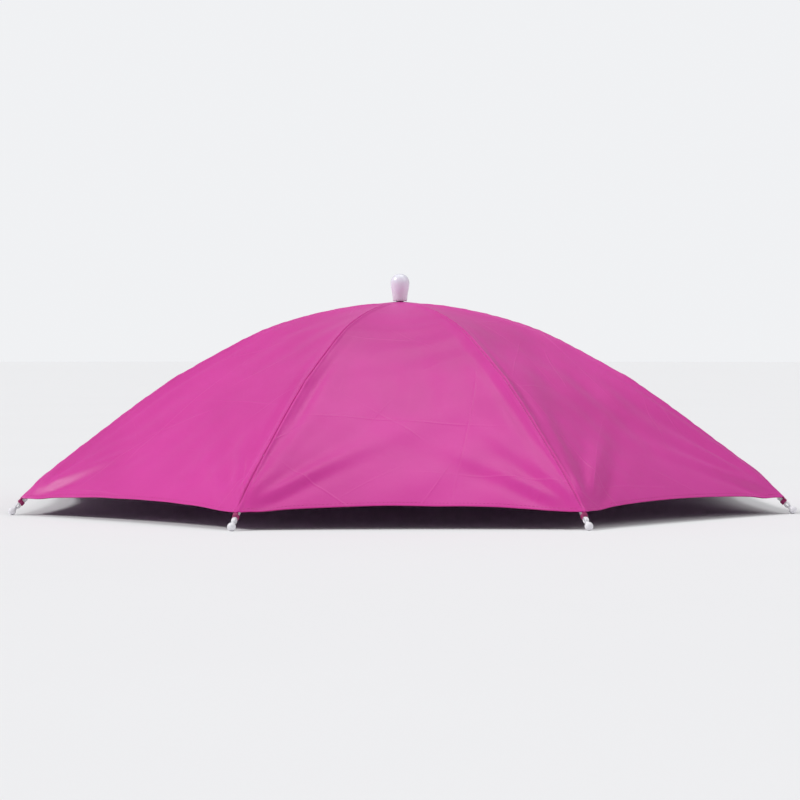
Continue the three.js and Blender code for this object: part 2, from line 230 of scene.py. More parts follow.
def ring(radius_a, radius_b, section, origin, axis_a, axis_b, steps=20):
    """An oval ring in the plane of two axes: its outline is given outward and across that plane."""
    turn = np.arange(steps)[:, None] * math.tau / steps
    outward = np.cos(turn) * axis_a + np.sin(turn) * axis_b
    path = origin + radius_a * np.cos(turn) * axis_a + radius_b * np.sin(turn) * axis_b
    return sweep(section, path, outward, np.cross(axis_a, axis_b), closed=True)


def circle(radius, sides):
    """Points spaced evenly round a circle."""
    turn = np.arange(sides) * math.tau / sides
    return np.stack([radius * np.cos(turn), radius * np.sin(turn)], -1)


def rounded(corners, radius, steps):
    """A closed outline with each corner replaced by a short curve between points a radius along its edges."""
    corners = np.asarray(corners, float)
    before, after = np.roll(corners, 1, 0) - corners, np.roll(corners, -1, 0) - corners
    reach = np.minimum(radius, 0.45 * np.minimum(np.hypot(*before.T), np.hypot(*after.T)))[:, None]
    start = corners + before / np.hypot(*before.T)[:, None] * reach
    end = corners + after / np.hypot(*after.T)[:, None] * reach
    t = np.linspace(0, 1, steps + 1)[None, :, None]
    curve = (1 - t) ** 2 * start[:, None] + 2 * t * (1 - t) * corners[:, None] + t * t * end[:, None]
    return curve.reshape(-1, 2)


def box_outline(width, height, radius, steps=3):
    """A rounded rectangle about the middle, anticlockwise."""
    w, h = width / 2, height / 2
    return rounded([(-w, -h), (w, -h), (w, h), (-w, h)], radius, steps)


def bent_path(corners, radius, steps=6):
    """An open path through corners, the inner ones rounded by short curves, with unit normals to its left."""
    path = [corners[:1]]
    for before, corner, after in zip(corners, corners[1:], corners[2:]):
        start = corner + (before - corner) / np.linalg.norm(before - corner) * radius
        end = corner + (after - corner) / np.linalg.norm(after - corner) * radius
        t = np.linspace(0, 1, steps)[:, None]
        path.append((1 - t) ** 2 * start + 2 * t * (1 - t) * corner + t * t * end)
    path.append(corners[-1:])
    path = np.concatenate(path)
    heading = np.gradient(path, axis=0)
    heading /= np.linalg.norm(heading, axis=1, keepdims=True)
    return path, np.stack([-heading[:, 1], heading[:, 0]], -1)


# A bevelled edge in shares of the bevel: how far in from the outline, and how deep under the face
BEVEL = ((1.0, 0.0), (0.3, 0.3), (0.0, 1.0))


def plate(outline, thickness, bevel, origin, axis_x, axis_y):
    """A flat plate: its outline at several levels, drawn in towards both faces for a bevelled edge."""
    normal = np.cross(axis_x, axis_y)
    centre = outline.mean(0)
    size = np.hypot(*(outline - centre).T).mean()
    half = thickness / 2
    lower = [(bevel * inset, bevel * depth - half) for inset, depth in BEVEL]
    upper = [(inset, -level) for inset, level in reversed(lower)]
    rings = []
    for inset, level in lower + upper:
        flat = centre + (outline - centre) * (1 - inset / size)
        rings.append(origin + flat[:, :1] * axis_x + flat[:, 1:] * axis_y + level * normal)
    middle = origin + centre[0] * axis_x + centre[1] * axis_y
    return closed_rings(rings, [middle - half * normal, middle + half * normal])


def together(shapes):
    """Several shapes as one."""
    points, faces, count = [], [], 0
    for shape_points, shape_faces in shapes:
        points.append(shape_points)
        faces.extend([[corner + count for corner in face] for face in shape_faces])
        count += len(shape_points)
    return np.concatenate(points), faces


def piece(name, shape, materials, replaces=(), sharp=None):
    """Makes a shape a mesh object in metres, riding on the hat's one body.

    All of it is shaded smooth, but for edges that turn by more than sharp degrees.
    """
    points, faces = shape
    mesh = bpy.data.meshes.new(name)
    mesh.from_pydata((points * MM).tolist(), [], faces)
    mesh.validate()
    mesh.polygons.foreach_set("use_smooth", [True] * len(mesh.polygons))
    if sharp:
        mesh.set_sharp_from_angle(angle=math.radians(sharp))
    thing = bpy.data.objects.new(name, mesh)
    bpy.context.scene.collection.objects.link(thing)
    for material in materials:
        mesh.materials.append(material)
    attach(thing, "root")
    if replaces:
        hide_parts(*replaces)
    return thing


# Node tools

class Nodes:
    """Adds nodes to one tree and links them, so that a material reads as a list of steps."""

    def __init__(self, tree):
        self.tree = tree

    def add(self, kind, **settings):
        node = self.tree.nodes.new(kind)
        for key, value in settings.items():
            setattr(node, key, value)
        return node

    def link(self, source, target):
        self.tree.links.new(source, target)

    def give(self, socket, value):
        """Links a node's output to the socket, or sets the socket to a plain value."""
        if isinstance(value, bpy.types.NodeSocket):
            self.link(value, socket)
        else:
            socket.default_value = value

    def maths(self, operation, *values):
        node = self.add("ShaderNodeMath", operation=operation)
        for socket, value in zip(node.inputs, values):
            self.give(socket, value)
        return node.outputs[0]

    def mapped(self, value, low, high, to_low, to_high):
        """A value moved in proportion from one range to another, and kept within it."""
        node = self.add("ShaderNodeMapRange", clamp=True)
        for socket, number in zip(node.inputs, (value, low, high, to_low, to_high)):
            self.give(socket, number)
        return node.outputs[0]

    def noise(self, vector, scale, detail=3.0):
        node = self.add("ShaderNodeTexNoise")
        self.link(vector, node.inputs["Vector"])
        self.give(node.inputs["Scale"], scale)
        node.inputs["Detail"].default_value = detail
        return node.outputs["Fac"]

    def mixed(self, factor, first, second):
        """The first colour where the factor is 0, the second where it is 1, and a mix between."""
        node = self.add("ShaderNodeMix", data_type="RGBA")
        self.give(node.inputs["Factor"], factor)
        for name, colour in (("A", first), ("B", second)):
            socket = [s for s in node.inputs if s.name == name and s.type == "RGBA"][0]
            self.give(socket, colour)
        return [s for s in node.outputs if s.type == "RGBA"][0]

    def stretched(self, vector, scale, turn=0.0):
        """Coordinates turned about Z and multiplied by a scale."""
        node = self.add("ShaderNodeMapping")
        self.link(vector, node.inputs["Vector"])
        node.inputs["Scale"].default_value = scale
        node.inputs["Rotation"].default_value = (0, 0, turn)
        return node.outputs["Vector"]


def effect(name, inputs, outputs):
    """Starts a shared effect: a node group with named sockets. Returns its tree, its tools, ins and outs."""
    tree = bpy.data.node_groups.new(name, "ShaderNodeTree")
    for title, kind, value in inputs:
        socket = tree.interface.new_socket(title, in_out="INPUT", socket_type=kind)
        if value is not None:
            socket.default_value = value
    for title in outputs:
        tree.interface.new_socket(title, in_out="OUTPUT", socket_type="NodeSocketFloat")
    tools = Nodes(tree)
    entry, leave = tools.add("NodeGroupInput"), tools.add("NodeGroupOutput")
    return tree, tools, entry.outputs, leave.inputs


# Pressed folds, one family to a row: its turn, its lines' spacing and half width in metres, and its offset
CREASE_FAMILIES = (
    (0.12, 0.047, 0.0015, 0.0),
    (1.65, 0.062, 0.0018, 0.31),
    (0.85, 0.081, 0.0014, 0.57),
    (-0.72, 0.093, 0.0016, 0.83),
    (0.42, 0.069, 0.0012, 1.17),
)
CREASE_BEND = 0.012
CREASE_SHARPNESS = 1.6
CREASE_PATCHES = (16, 5, 1)
CREASE_HEIGHT = 0.17
CRUMPLE_HEIGHT = 0.6
FINE_CRUMPLE = 0.3
SPECKS_PER_MARK = 25.0


def plain_weave():
    """Threads over and under: the product of two crossed sine waves, which changes sign at each crossing."""
    tree, t, ins, outs = effect(
        "plain_weave",
        [("Vector", "NodeSocketVector", None), ("Threads per metre", "NodeSocketFloat", 3000.0)],
        ["Height"])
    apart = t.add("ShaderNodeSeparateXYZ")
    t.link(ins["Vector"], apart.inputs[0])
    waves = []
    for axis in ("X", "Y"):
        threads = t.maths("MULTIPLY", apart.outputs[axis], ins["Threads per metre"])
        waves.append(t.maths("SINE", t.maths("MULTIPLY", threads, math.pi)))
    t.link(t.mapped(t.maths("MULTIPLY", *waves), -1.0, 1.0, 0.0, 1.0), outs["Height"])
    return tree


def packing_creases():
    """Faint straight lines where folded cloth was pressed: families of parallel folds, broken up by patches.

    A line falls from full strength at its middle to nothing at its half width. Its height is added to a
    crumple of coarse noise and a share of fine noise.
    """
    tree, t, ins, outs = effect(
        "packing_creases", [("Vector", "NodeSocketVector", None)], ["Height", "Lines"])
    total = None
    for turn, spacing, half_width, offset in CREASE_FAMILIES:
        turned = t.stretched(ins["Vector"], (1, 1, 1), turn)
        apart = t.add("ShaderNodeSeparateXYZ")
        t.link(turned, apart.inputs[0])
        bend = t.mapped(t.noise(turned, 5.0, detail=2.0), 0.0, 1.0, -CREASE_BEND, CREASE_BEND)
        across = t.maths("ADD", t.maths("ADD", apart.outputs["X"], bend), offset)
        away = t.maths("PINGPONG", across, spacing / 2)
        line = t.maths("POWER", t.mapped(away, 0.0, half_width, 1.0, 0.0), CREASE_SHARPNESS)
        cloud = t.noise(t.stretched(turned, CREASE_PATCHES), 1.0 + offset, detail=2.0)
        one = t.maths("MULTIPLY", line, t.mapped(cloud, 0.50, 0.62, 0.0, 1.0))
        total = one if total is None else t.maths("MAXIMUM", total, one)
    slanted = t.stretched(ins["Vector"], (1.0, 0.5, 1.0), turn=0.6)
    fine = t.maths("MULTIPLY", t.noise(slanted, 75.0, detail=2.0), FINE_CRUMPLE)
    crumple = t.maths("ADD", t.noise(ins["Vector"], 22.0, detail=4.0), fine)
    lines_height = t.maths("MULTIPLY", total, CREASE_HEIGHT)
    crumple_height = t.maths("MULTIPLY", crumple, CRUMPLE_HEIGHT)
    t.link(total, outs["Lines"])
    t.link(t.maths("ADD", lines_height, crumple_height), outs["Height"])
    return tree


def wear():
    """Uneven handling marks: broad cloudy change, and fine specks."""
    tree, t, ins, outs = effect(
        "wear",
        [("Vector", "NodeSocketVector", None), ("Marks per metre", "NodeSocketFloat", 40.0)],
        ["Cloud", "Specks"])
    t.link(t.noise(ins["Vector"], ins["Marks per metre"], detail=3.0), outs["Cloud"])
    specks_per_metre = t.maths("MULTIPLY", ins["Marks per metre"], SPECKS_PER_MARK)
    fine = t.noise(ins["Vector"], specks_per_metre, detail=2.0)
    t.link(t.mapped(fine, 0.62, 0.74, 0.0, 1.0), outs["Specks"])
    return tree


WEAVE = plain_weave()
CREASES = packing_creases()
WEAR = wear()


class Finish(Nodes):
    """A material under way: its shader, its coordinates and the steps that lead to them."""

    def __init__(self, name, roughness, metallic=0.0, uv=False, **sockets):
        self.material = bpy.data.materials.new(name)
        self.material.use_nodes = True
        super().__init__(self.material.node_tree)
        self.shader = self.tree.nodes["Principled BSDF"]
        self.shader.inputs["Roughness"].default_value = roughness
        self.shader.inputs["Metallic"].default_value = metallic
        for title, value in sockets.items():
            self.shader.inputs[title.replace("_", " ")].default_value = value
        self.place = self.add("ShaderNodeTexCoord").outputs["UV" if uv else "Object"]

    def effect(self, group, at=None, **values):
        node = self.add("ShaderNodeGroup", node_tree=group)
        self.link(self.place if at is None else at, node.inputs["Vector"])
        for title, value in values.items():
            node.inputs[title.replace("_", " ")].default_value = value
        return node.outputs

    def colour(self, value):
        self.give(self.shader.inputs["Base Color"], value)

    def rough(self, value):
        self.give(self.shader.inputs["Roughness"], value)

    def bump(self, height, strength, depth, under=None):
        """Lights the surface as if raised by a height, over an earlier bump's normal where one is given."""
        node = self.add("ShaderNodeBump")
        node.inputs["Strength"].default_value = strength
        node.inputs["Distance"].default_value = depth
        self.link(height, node.inputs["Height"])
        if under is not None:
            self.link(under, node.inputs["Normal"])
        self.link(node.outputs[0], self.shader.inputs["Normal"])
        return node.outputs[0]


def canopy_finish(name, light, dark, roughness, crease_painted_shading, crease_shading_share, crease_density, **sockets):
    """Coated polyester: a fine weave under pressed creases, cloudy between, with painted light and shade
    along the creases' lines: a painted highlight where their tint is lighter than the cloth, painted shade
    where it is darker.
    """
    f = Finish(name, roughness, uv=True, **sockets)
    creases = f.effect(CREASES, at=f.stretched(f.place, (crease_density, crease_density, 1)))
    cloud = f.mapped(f.noise(f.place, 7.0), 0.35, 0.65, 0.0, 1.0)
    base = f.mixed(cloud, light, dark)
    # Painted crease shading: the crease lines take the given tint, a painted highlight on the outside and
    # painted shade on the coating.
    f.colour(f.mixed(f.maths("MULTIPLY", creases["Lines"], crease_shading_share), base, crease_painted_shading))
    f.rough(f.mapped(creases["Height"], 0.2, 0.9, roughness + 0.06, roughness - 0.06))
    creased = f.bump(creases["Height"], strength=0.45, depth=0.002)
    f.bump(f.effect(WEAVE)["Height"], strength=0.12, depth=0.0001, under=creased)
    return f.material


def hem_finish():
    """The pink cloth turned under at the hem, doubled and dark, with the weave showing."""
    f = Finish("hem_cloth", 0.55, uv=True)
    f.colour(f.mixed(f.noise(f.place, 60.0), (0.38, 0.019, 0.145, 1), (0.30, 0.014, 0.11, 1)))
    f.bump(f.effect(WEAVE)["Height"], strength=0.3, depth=0.0002)
    return f.material


def lacquer_finish():
    """Black lacquer on thin steel, with cloudy gloss and small bright rubs."""
    f = Finish("rib_lacquer", 0.38, Coat_Weight=0.3, Coat_Roughness=0.25)
    marks = f.effect(WEAR, Marks_per_metre=60.0)
    rubbed = f.maths("MULTIPLY", marks["Specks"], 0.5)
    f.colour(f.mixed(rubbed, (0.012, 0.012, 0.014, 1), (0.16, 0.16, 0.17, 1)))
    f.rough(f.mapped(marks["Cloud"], 0.3, 0.7, 0.28, 0.5))
    f.bump(marks["Cloud"], strength=0.05, depth=0.0005)
    return f.material


def steel_finish():
    """Bare zinc-grey steel inside the rolled channels, clouded and a little dull."""
    f = Finish("channel_steel", 0.4, metallic=0.6)
    marks = f.effect(WEAR, Marks_per_metre=90.0)
    f.colour(f.mixed(marks["Cloud"], (0.13, 0.145, 0.17, 1), (0.19, 0.205, 0.235, 1)))
    f.rough(f.mapped(marks["Cloud"], 0.3, 0.7, 0.32, 0.5))
    f.bump(marks["Cloud"], strength=0.08, depth=0.0004)
    return f.material


def elastic_finish():
    """Knitted black elastic: fine stitches across each raised cord, with a little fuzz."""
    f = Finish("band_elastic", 0.7, uv=True, Sheen_Weight=0.35, Sheen_Roughness=0.45)
    knit = f.effect(WEAVE, Threads_per_metre=1400.0)["Height"]
    f.colour(f.mixed(knit, (0.006, 0.006, 0.007, 1), (0.020, 0.020, 0.022, 1)))
    f.rough(f.mapped(f.noise(f.place, 300.0), 0.3, 0.7, 0.6, 0.8))
    f.bump(knit, strength=0.5, depth=0.0003)
    return f.material


def webbing_finish():
    """Smooth black webbing in a fine twill: a sine wave over the sum of both coordinates, so at a slant."""
    f = Finish("band_webbing", 0.7, uv=True, Sheen_Weight=0.2, Sheen_Roughness=0.5)
    apart = f.add("ShaderNodeSeparateXYZ")
    f.link(f.place, apart.inputs[0])
    slant = f.maths("ADD", apart.outputs["X"], apart.outputs["Y"])
    twill = f.maths("SINE", f.maths("MULTIPLY", slant, 5200.0))
    height = f.mapped(twill, -1.0, 1.0, 0.0, 1.0)
    f.colour(f.mixed(height, (0.006, 0.006, 0.007, 1), (0.016, 0.016, 0.018, 1)))
    f.rough(f.mapped(f.noise(f.place, 260.0), 0.3, 0.7, 0.6, 0.8))
    f.bump(height, strength=0.35, depth=0.0002)
    return f.material


def plastic_finish(name, colour, shade, roughness, **sockets):
    """Moulded plastic: a faint cloud in its colour and a fine grain in its gloss."""
    f = Finish(name, roughness, **sockets)
    marks = f.effect(WEAR, Marks_per_metre=120.0)
    f.colour(f.mixed(marks["Cloud"], colour, shade))
    f.rough(f.mapped(marks["Cloud"], 0.3, 0.7, roughness - 0.07, roughness + 0.07))
    f.bump(marks["Specks"], strength=0.06, depth=0.0002)
    return f.material


def thread_finish(name, light, dark):
    """Twisted sewing thread: slanted plies."""
    f = Finish(name, 0.6)
    plies = f.noise(f.stretched(f.place, (1.0, 1.0, 3.0), turn=0.7), 2500.0, detail=1.0)
    f.colour(f.mixed(plies, light, dark))
    f.bump(plies, strength=0.4, depth=0.0002)
    return f.material


def tape_finish():
    """White woven tape, with its threads faintly showing."""
    f = Finish("label_tape", 0.6, uv=True)
    threads = f.effect(WEAVE, Threads_per_metre=2500.0)["Height"]
    f.colour(f.mixed(threads, (0.78, 0.77, 0.79, 1), (0.90, 0.89, 0.91, 1)))
    f.rough(f.mapped(threads, 0.0, 1.0, 0.65, 0.5))
    f.bump(threads, strength=0.3, depth=0.0002)
    return f.material


def light_through(weight, scale):
    """The shader's values for a finish that light enters, to a depth of about the scale in metres."""
    return {"Subsurface_Weight": weight, "Subsurface_Scale": scale, "Subsurface_Radius": (1, 1, 1)}


# Painted highlight: the outside's crease lines are tinted lighter than the pink cloth.
CLOTH_OUTSIDE = canopy_finish(
    "canopy_outside", light=(0.67, 0.046, 0.352, 1), dark=(0.59, 0.037, 0.302, 1), roughness=0.38,
    crease_painted_shading=(0.80, 0.14, 0.46, 1), crease_shading_share=0.12, crease_density=1.0,
    Sheen_Weight=0.06, Sheen_Roughness=0.35, Sheen_Tint=(1.0, 0.65, 0.9, 1), Specular_IOR_Level=0.26,
    **light_through(0.2, 0.001))
# Painted shade: the coating's crease lines are tinted darker than the coating.
CLOTH_INSIDE = canopy_finish(
    "canopy_coating", light=(0.47, 0.26, 0.46, 1), dark=(0.40, 0.21, 0.40, 1), roughness=0.34,
    crease_painted_shading=(0.27, 0.12, 0.27, 1), crease_shading_share=0.45, crease_density=1.5,
    **light_through(0.2, 0.001))
HEM = hem_finish()
LACQUER = lacquer_finish()
STEEL = steel_finish()
ELASTIC = elastic_finish()
WEBBING = webbing_finish()
ARM_PLASTIC = plastic_finish("arm_plastic", (0.012, 0.012, 0.014, 1), (0.02, 0.02, 0.022, 1), 0.38)
TIP_PLASTIC = plastic_finish(
    "tip_plastic", (0.86, 0.84, 0.88, 1), (0.80, 0.78, 0.83, 1), 0.3, **light_through(0.3, 0.002))
FERRULE_PLASTIC = plastic_finish(
    "ferrule_plastic", (0.88, 0.87, 0.97, 1), (0.80, 0.79, 0.93, 1), 0.24,
    Coat_Weight=0.3, Coat_Roughness=0.15, **light_through(0.6, 0.006))
PINK_THREAD = thread_finish("pink_thread", (0.60, 0.04, 0.27, 1), (0.48, 0.03, 0.21, 1))
BLACK_THREAD = thread_finish("black_thread", (0.02, 0.02, 0.022, 1), (0.05, 0.05, 0.055, 1))
LABEL_TAPE = tape_finish()


# Canopy

# Rows of the cloth's grid: distances from the hem, close over its turned strip, then the number above those
HEM_ROWS = (0, 0.35, 1.2, 2.1, 2.75, 2.95, 4.2, 6.2)
ROWS_ABOVE_HEM = 80
ROW_CROWDING = 1.25
# Columns of the grid: the first shares of the way from a seam to the gore's middle, and the number in all
NEAR_SEAM = (0, 0.004, 0.009, 0.0155, 0.024, 0.036, 0.052, 0.075)
COLUMNS_PER_SIDE = 32
# The turned hem, and the step at its inner end. Its edge is rounded down to a share of its thickness
HEM_WIDTH = 2.8
HEM_STEP = (HEM_WIDTH - 0.1, HEM_WIDTH + 0.2)
HEM_THICKNESS = 1.0
HEM_EDGE_SHARE = 0.35
# The finishes' places in the canopy's list of materials
OUTSIDE_SLOT, INSIDE_SLOT, HEM_SLOT = range(3)
# Room between the gores' patches in the flat cloth coordinates, in metres
PATCH_STEP = 0.3

# The sewn seam: a ridge on each side of a groove, both bell curves, with puckers in radians a millimetre
RIDGE_HEIGHT = 0.65
RIDGE_BESIDE = 1.6
RIDGE_WIDTH = 0.9
GROOVE_DEPTH = 0.85
GROOVE_WIDTH = 0.5
GROOVE_FADE = (1, 9)
SEAM_FADE = (14, 30)
PUCKER = 0.4
PUCKER_FAST = 0.55
PUCKER_SLOW = 0.17
# The rise over a rib's joint, and how near a seam the cloth is held smooth
KNUCKLE_LIFT = 0.8
KNUCKLE_LENGTH = 6
KNUCKLE_WIDTH = 5
SEAM_HOLD = 7

# The folds' fan from a tip: half the span between two tips, the cloth's length for each millimetre of radius
# there, how far behind the tip the lines meet, and the crests' angles from the seam in degrees
TIP_SIDE = CORNER_RADIUS * math.sin(HALF_STEP)
CLOTH_PER_RADIUS = 1.22
FAN_START = 1.0
CREST_ANGLES = (10, 24, 38, 53)
CREST_HEIGHT = 3.0
CREST_WIDENING = 0.035
CREST_SWELLS = (8, 34)
CREST_FADE = 1.8
VALLEY_SHARE = 0.5
VALLEY_BESIDE = 1.8
# From here to the surface's functions, a pair is the least and the most that a random draw may give
FOLD_SEED = 7
CREST_WANDER = (-3, 3)
CREST_WIDTH = (3.4, 4.6)
CREST_LENGTH = (55, 105)
CREST_SHARE = (0.7, 1.6)
# The slack waves: a wave has its full height at the full length, and less as it is shorter
WAVE_SEED = 107
WAVES = 7
WAVE_TURN = 0.45
WAVE_LENGTH = (18, 46)
WAVE_HEIGHT = (0.25, 0.6)
WAVE_FULL_LENGTH = 34
WAVE_SIDEWAYS = (-70, 70)
WAVE_OUT = (110, 290)
WAVE_SPREAD = (22, 60)
# The long hollow beside a seam
HOLLOW_SEED = 307
HOLLOW_OUT = (190, 250)
HOLLOW_REACH = (50, 90)
HOLLOW_DEPTH = (0.5, 1.7)
HOLLOW_BESIDE = (7, 11)
HOLLOW_WIDTH = (3.5, 5.5)


def across_steps():
    """Places across one gore from -1 to 1, close together near both seams. The last is the next gore's."""
    inner = np.linspace(NEAR_SEAM[-1], 1, COLUMNS_PER_SIDE - len(NEAR_SEAM) + 2)[1:]
    side = np.concatenate([NEAR_SEAM, inner])
    return np.concatenate([-1 + side, (1 - side)[::-1][1:-1]])


def hem_length(across):
    """Distance out to the hem, which bows inward between its corners: corner - bow * (1 - across squared)."""
    return CORNER_RADIUS - HEM_BOW * (1 - across ** 2)


def tip_folds(sideways, out, gore):
    """Tension folds that fan out from both tips of a gore: crests along straight lines through the tip.

    Across its line each crest is a bell curve with a shallow valley beside it. It widens slowly, swells over
    the first centimetres and dies away along its length.
    """
    rng = np.random.default_rng(FOLD_SEED + gore)
    inward = (CORNER_RADIUS - out) * CLOTH_PER_RADIUS + FAN_START
    lift = np.zeros_like(sideways)
    for side in (-1, 1):
        beside = TIP_SIDE - side * sideways
        reach = np.hypot(beside, inward)
        angle = np.arctan2(beside, inward)
        for middle in CREST_ANGLES:
            turned = angle - math.radians(middle + rng.uniform(*CREST_WANDER))
            width = rng.uniform(*CREST_WIDTH) + CREST_WIDENING * reach
            length = rng.uniform(*CREST_LENGTH)
            height = rng.uniform(*CREST_SHARE) * CREST_HEIGHT
            away = reach * np.sin(turned) / width
            crest = bell(away) - VALLEY_SHARE * bell(away - VALLEY_BESIDE)
            lift += height * crest * smooth(reach, *CREST_SWELLS) * np.exp(-(reach / length) ** CREST_FADE)
    return lift


def long_waves(sideways, out, gore):
    """Slack left in the cloth: soft cosine waves, most of them lengthwise, each fading out round a place."""
    rng = np.random.default_rng(WAVE_SEED + gore)
    lift = np.zeros_like(sideways)
    for _ in range(WAVES):
        turn = rng.normal(0, WAVE_TURN)
        length = rng.uniform(*WAVE_LENGTH)
        phase = rng.uniform(0, math.tau)
        height = rng.uniform(*WAVE_HEIGHT) * length / WAVE_FULL_LENGTH
        centre_sideways = rng.uniform(*WAVE_SIDEWAYS)
        centre_out = rng.uniform(*WAVE_OUT)
        spread = rng.uniform(*WAVE_SPREAD)
        patch = np.exp(-((sideways - centre_sideways) ** 2 + (out - centre_out) ** 2) / (2 * spread ** 2))
        along = sideways * math.cos(turn) + out * math.sin(turn)
        lift += height * patch * np.cos(along * math.tau / length + phase)
    return lift


def seam_hollow(beside, out, gore, side):
    """The long hollow where the cloth falls away from its seam: a bell curve along it times one across it."""
    rng = np.random.default_rng(HOLLOW_SEED + 2 * gore + (side > 0))
    middle = rng.uniform(*HOLLOW_OUT)
    reach = rng.uniform(*HOLLOW_REACH)
    depth = rng.uniform(*HOLLOW_DEPTH)
    centre = rng.uniform(*HOLLOW_BESIDE)
    width = rng.uniform(*HOLLOW_WIDTH)
    return -depth * bell(out - middle, reach) * bell(beside - centre, width)


def seam_profile(beside, out, gore_side):
    """The sewn seam: a stitched groove on the rib with a low rounded ridge on each side, puckered along it.

    The puckers are two sine waves multiplied. All of it fades out at the centre, and the groove at the hem.
    """
    pucker = 1 + PUCKER * np.sin(out * PUCKER_FAST + gore_side) * np.sin(out * PUCKER_SLOW + 2 * gore_side)
    ridge = RIDGE_HEIGHT * pucker * bell(beside - RIDGE_BESIDE, RIDGE_WIDTH)
    groove = -GROOVE_DEPTH * bell(beside, GROOVE_WIDTH) * smooth(CORNER_RADIUS - out, *GROOVE_FADE)
    return (ridge + groove) * smooth(out, *SEAM_FADE)


def cloth_lift(sideways, out, half_chord, gore):
    """How far the cloth stands off its smooth shape: folds, waves and hollows, and a rise over each joint."""
    beside = half_chord - np.abs(sideways)
    lift = tip_folds(sideways, out, gore) + long_waves(sideways, out, gore)
    for side in (-1, 1):
        lift += np.where(np.sign(sideways) == side, seam_hollow(beside, out, gore, side), 0)
    knuckle = bell(out - JOINT_MIDDLE, KNUCKLE_LENGTH) * bell(beside, KNUCKLE_WIDTH)
    return smooth(beside, 0, SEAM_HOLD) * lift + KNUCKLE_LIFT * knuckle


def cloth_point(gore, sideways, radius, depth):
    """A point at a depth under the cloth's middle surface, from its place across and out along a gore.

    The surface is the seam's curve, sunk by the gore's dip: deepest halfway across, and a sine wave outward.
    """
    half_chord = radius * math.sin(HALF_STEP)
    u = sideways / half_chord
    share = (radius - CENTRE_HOLE_RADIUS) / (hem_length(u) - CENTRE_HOLE_RADIUS)
    dip = GORE_DIP * (1 - u ** 2) * np.sin(math.pi * share * DIP_REACH)
    sunk_radius, height = below_seam(radius, depth + dip - cloth_lift(sideways, radius, half_chord, gore))
    return stand(sunk_radius * math.cos(HALF_STEP), height, rib_angle(gore) + HALF_STEP, sideways)


def canopy_surface():
    """Middle surface of the cloth on a grid, with rows from the hem to the centre and columns right round.

    Beside it come one gore's places across, the lengths along a seam from the hem, and the rows' distances.
    """
    top = CORNER_RADIUS - CENTRE_HOLE_RADIUS
    above = np.linspace(0, 1, ROWS_ABOVE_HEM + 1)[1:] ** ROW_CROWDING
    from_hem = np.concatenate([HEM_ROWS, HEM_ROWS[-1] + (top - HEM_ROWS[-1]) * above])
    across = across_steps()[None, :]
    share = 1 - from_hem[:, None] / top
    radius = CENTRE_HOLE_RADIUS + (hem_length(across) - CENTRE_HOLE_RADIUS) * share
    half_chord = radius * math.sin(HALF_STEP)
    beside = (1 - np.abs(across)) * half_chord
    sideways = across * half_chord
    gores = []
    for gore in range(RIBS):
        seam = seam_profile(beside, radius, gore + np.sign(across))
        gores.append(cloth_point(gore, sideways, radius, -seam))
    steps = np.hypot(np.diff(radius[:, 0]), np.diff(seam_height(radius[:, 0])))
    along = np.concatenate([[0], np.cumsum(steps)])
    return np.concatenate(gores, 1), sideways, along, from_hem


def normals_of(grid):
    """Upward unit normals of a grid that closes on itself along its columns, from central differences."""
    around = np.roll(grid, -1, 1) - np.roll(grid, 1, 1)
    inward = np.gradient(grid, axis=0)
    normal = np.cross(inward, around)
    normal /= np.linalg.norm(normal, axis=-1, keepdims=True)
    return np.where(normal[..., 2:] < 0, -normal, normal)


def canopy():
    """The cloth: an outer and an inner skin of the same surface, thicker over the turned hem."""
    middle, sideways, along, from_hem = canopy_surface()
    normal = normals_of(middle)
    extra = (HEM_THICKNESS - CLOTH) * (1 - smooth(from_hem, *HEM_STEP))
    rounding = np.where(from_hem < HEM_ROWS[1], HEM_EDGE_SHARE, 1.0)
    outer = middle + normal * (CLOTH / 2 * rounding)[:, None, None]
    inner = middle - normal * ((CLOTH / 2 + extra) * rounding)[:, None, None]
    rows, columns = middle.shape[:2]
    count = rows * columns
    outer_faces = grid_faces(rows, columns, wrap_columns=True)
    inner_faces = outer_faces[:, ::-1] + count
    here = np.arange(columns)
    beside = (here + 1) % columns
    hem_edge = np.stack([here, here + count, beside + count, beside], -1)
    hole_edge = np.stack([here, beside, beside + count, here + count], -1) + (rows - 1) * columns
    faces = np.concatenate([outer_faces, inner_faces, hem_edge, hole_edge])
    skins = np.concatenate([outer.reshape(-1, 3), inner.reshape(-1, 3)])
    cloth = piece("canopy", (skins, faces.tolist()), [CLOTH_OUTSIDE, CLOTH_INSIDE, HEM],
                  [f"gore_{i + 1}" for i in range(RIBS)])
    row_of_face = np.repeat(np.arange(rows - 1), columns)
    hem_rows = np.sum(from_hem < HEM_WIDTH) - 1
    slots = np.concatenate([
        np.full(len(outer_faces), OUTSIDE_SLOT),
        np.where(row_of_face < hem_rows, HEM_SLOT, INSIDE_SLOT),
        np.full(columns, HEM_SLOT),
        np.full(columns, OUTSIDE_SLOT),
    ])
    cloth.data.polygons.foreach_set("material_index", slots.astype(np.int32))
    write_cloth_uv(cloth, faces, sideways, along)
    return cloth


def write_cloth_uv(cloth, faces, sideways, along):
    """Flat cloth coordinates in metres: across each gore and along its rib, each gore in a patch of its own.

    A face between two gores belongs to the first of them, so its far corners take the other seam's places.
    """
    rows, per_gore = sideways.shape
    columns = per_gore * RIBS
    corner = faces % (rows * columns)
    row, column = corner // columns, corner % columns
    wraps = column.max(1) - column.min(1) > per_gore
    gore = np.where(wraps, RIBS - 1, column.min(1) // per_gore)[:, None]
    own_u = sideways[row, column % per_gore] * MM
    u = np.where(column // per_gore == gore, own_u, -own_u) + gore * PATCH_STEP
    pairs = np.stack([u, along[row] * MM], -1)
    layer = cloth.data.uv_layers.new(name="cloth")
    layer.data.foreach_set("uv", pairs.astype(np.float32).ravel())


# Frame

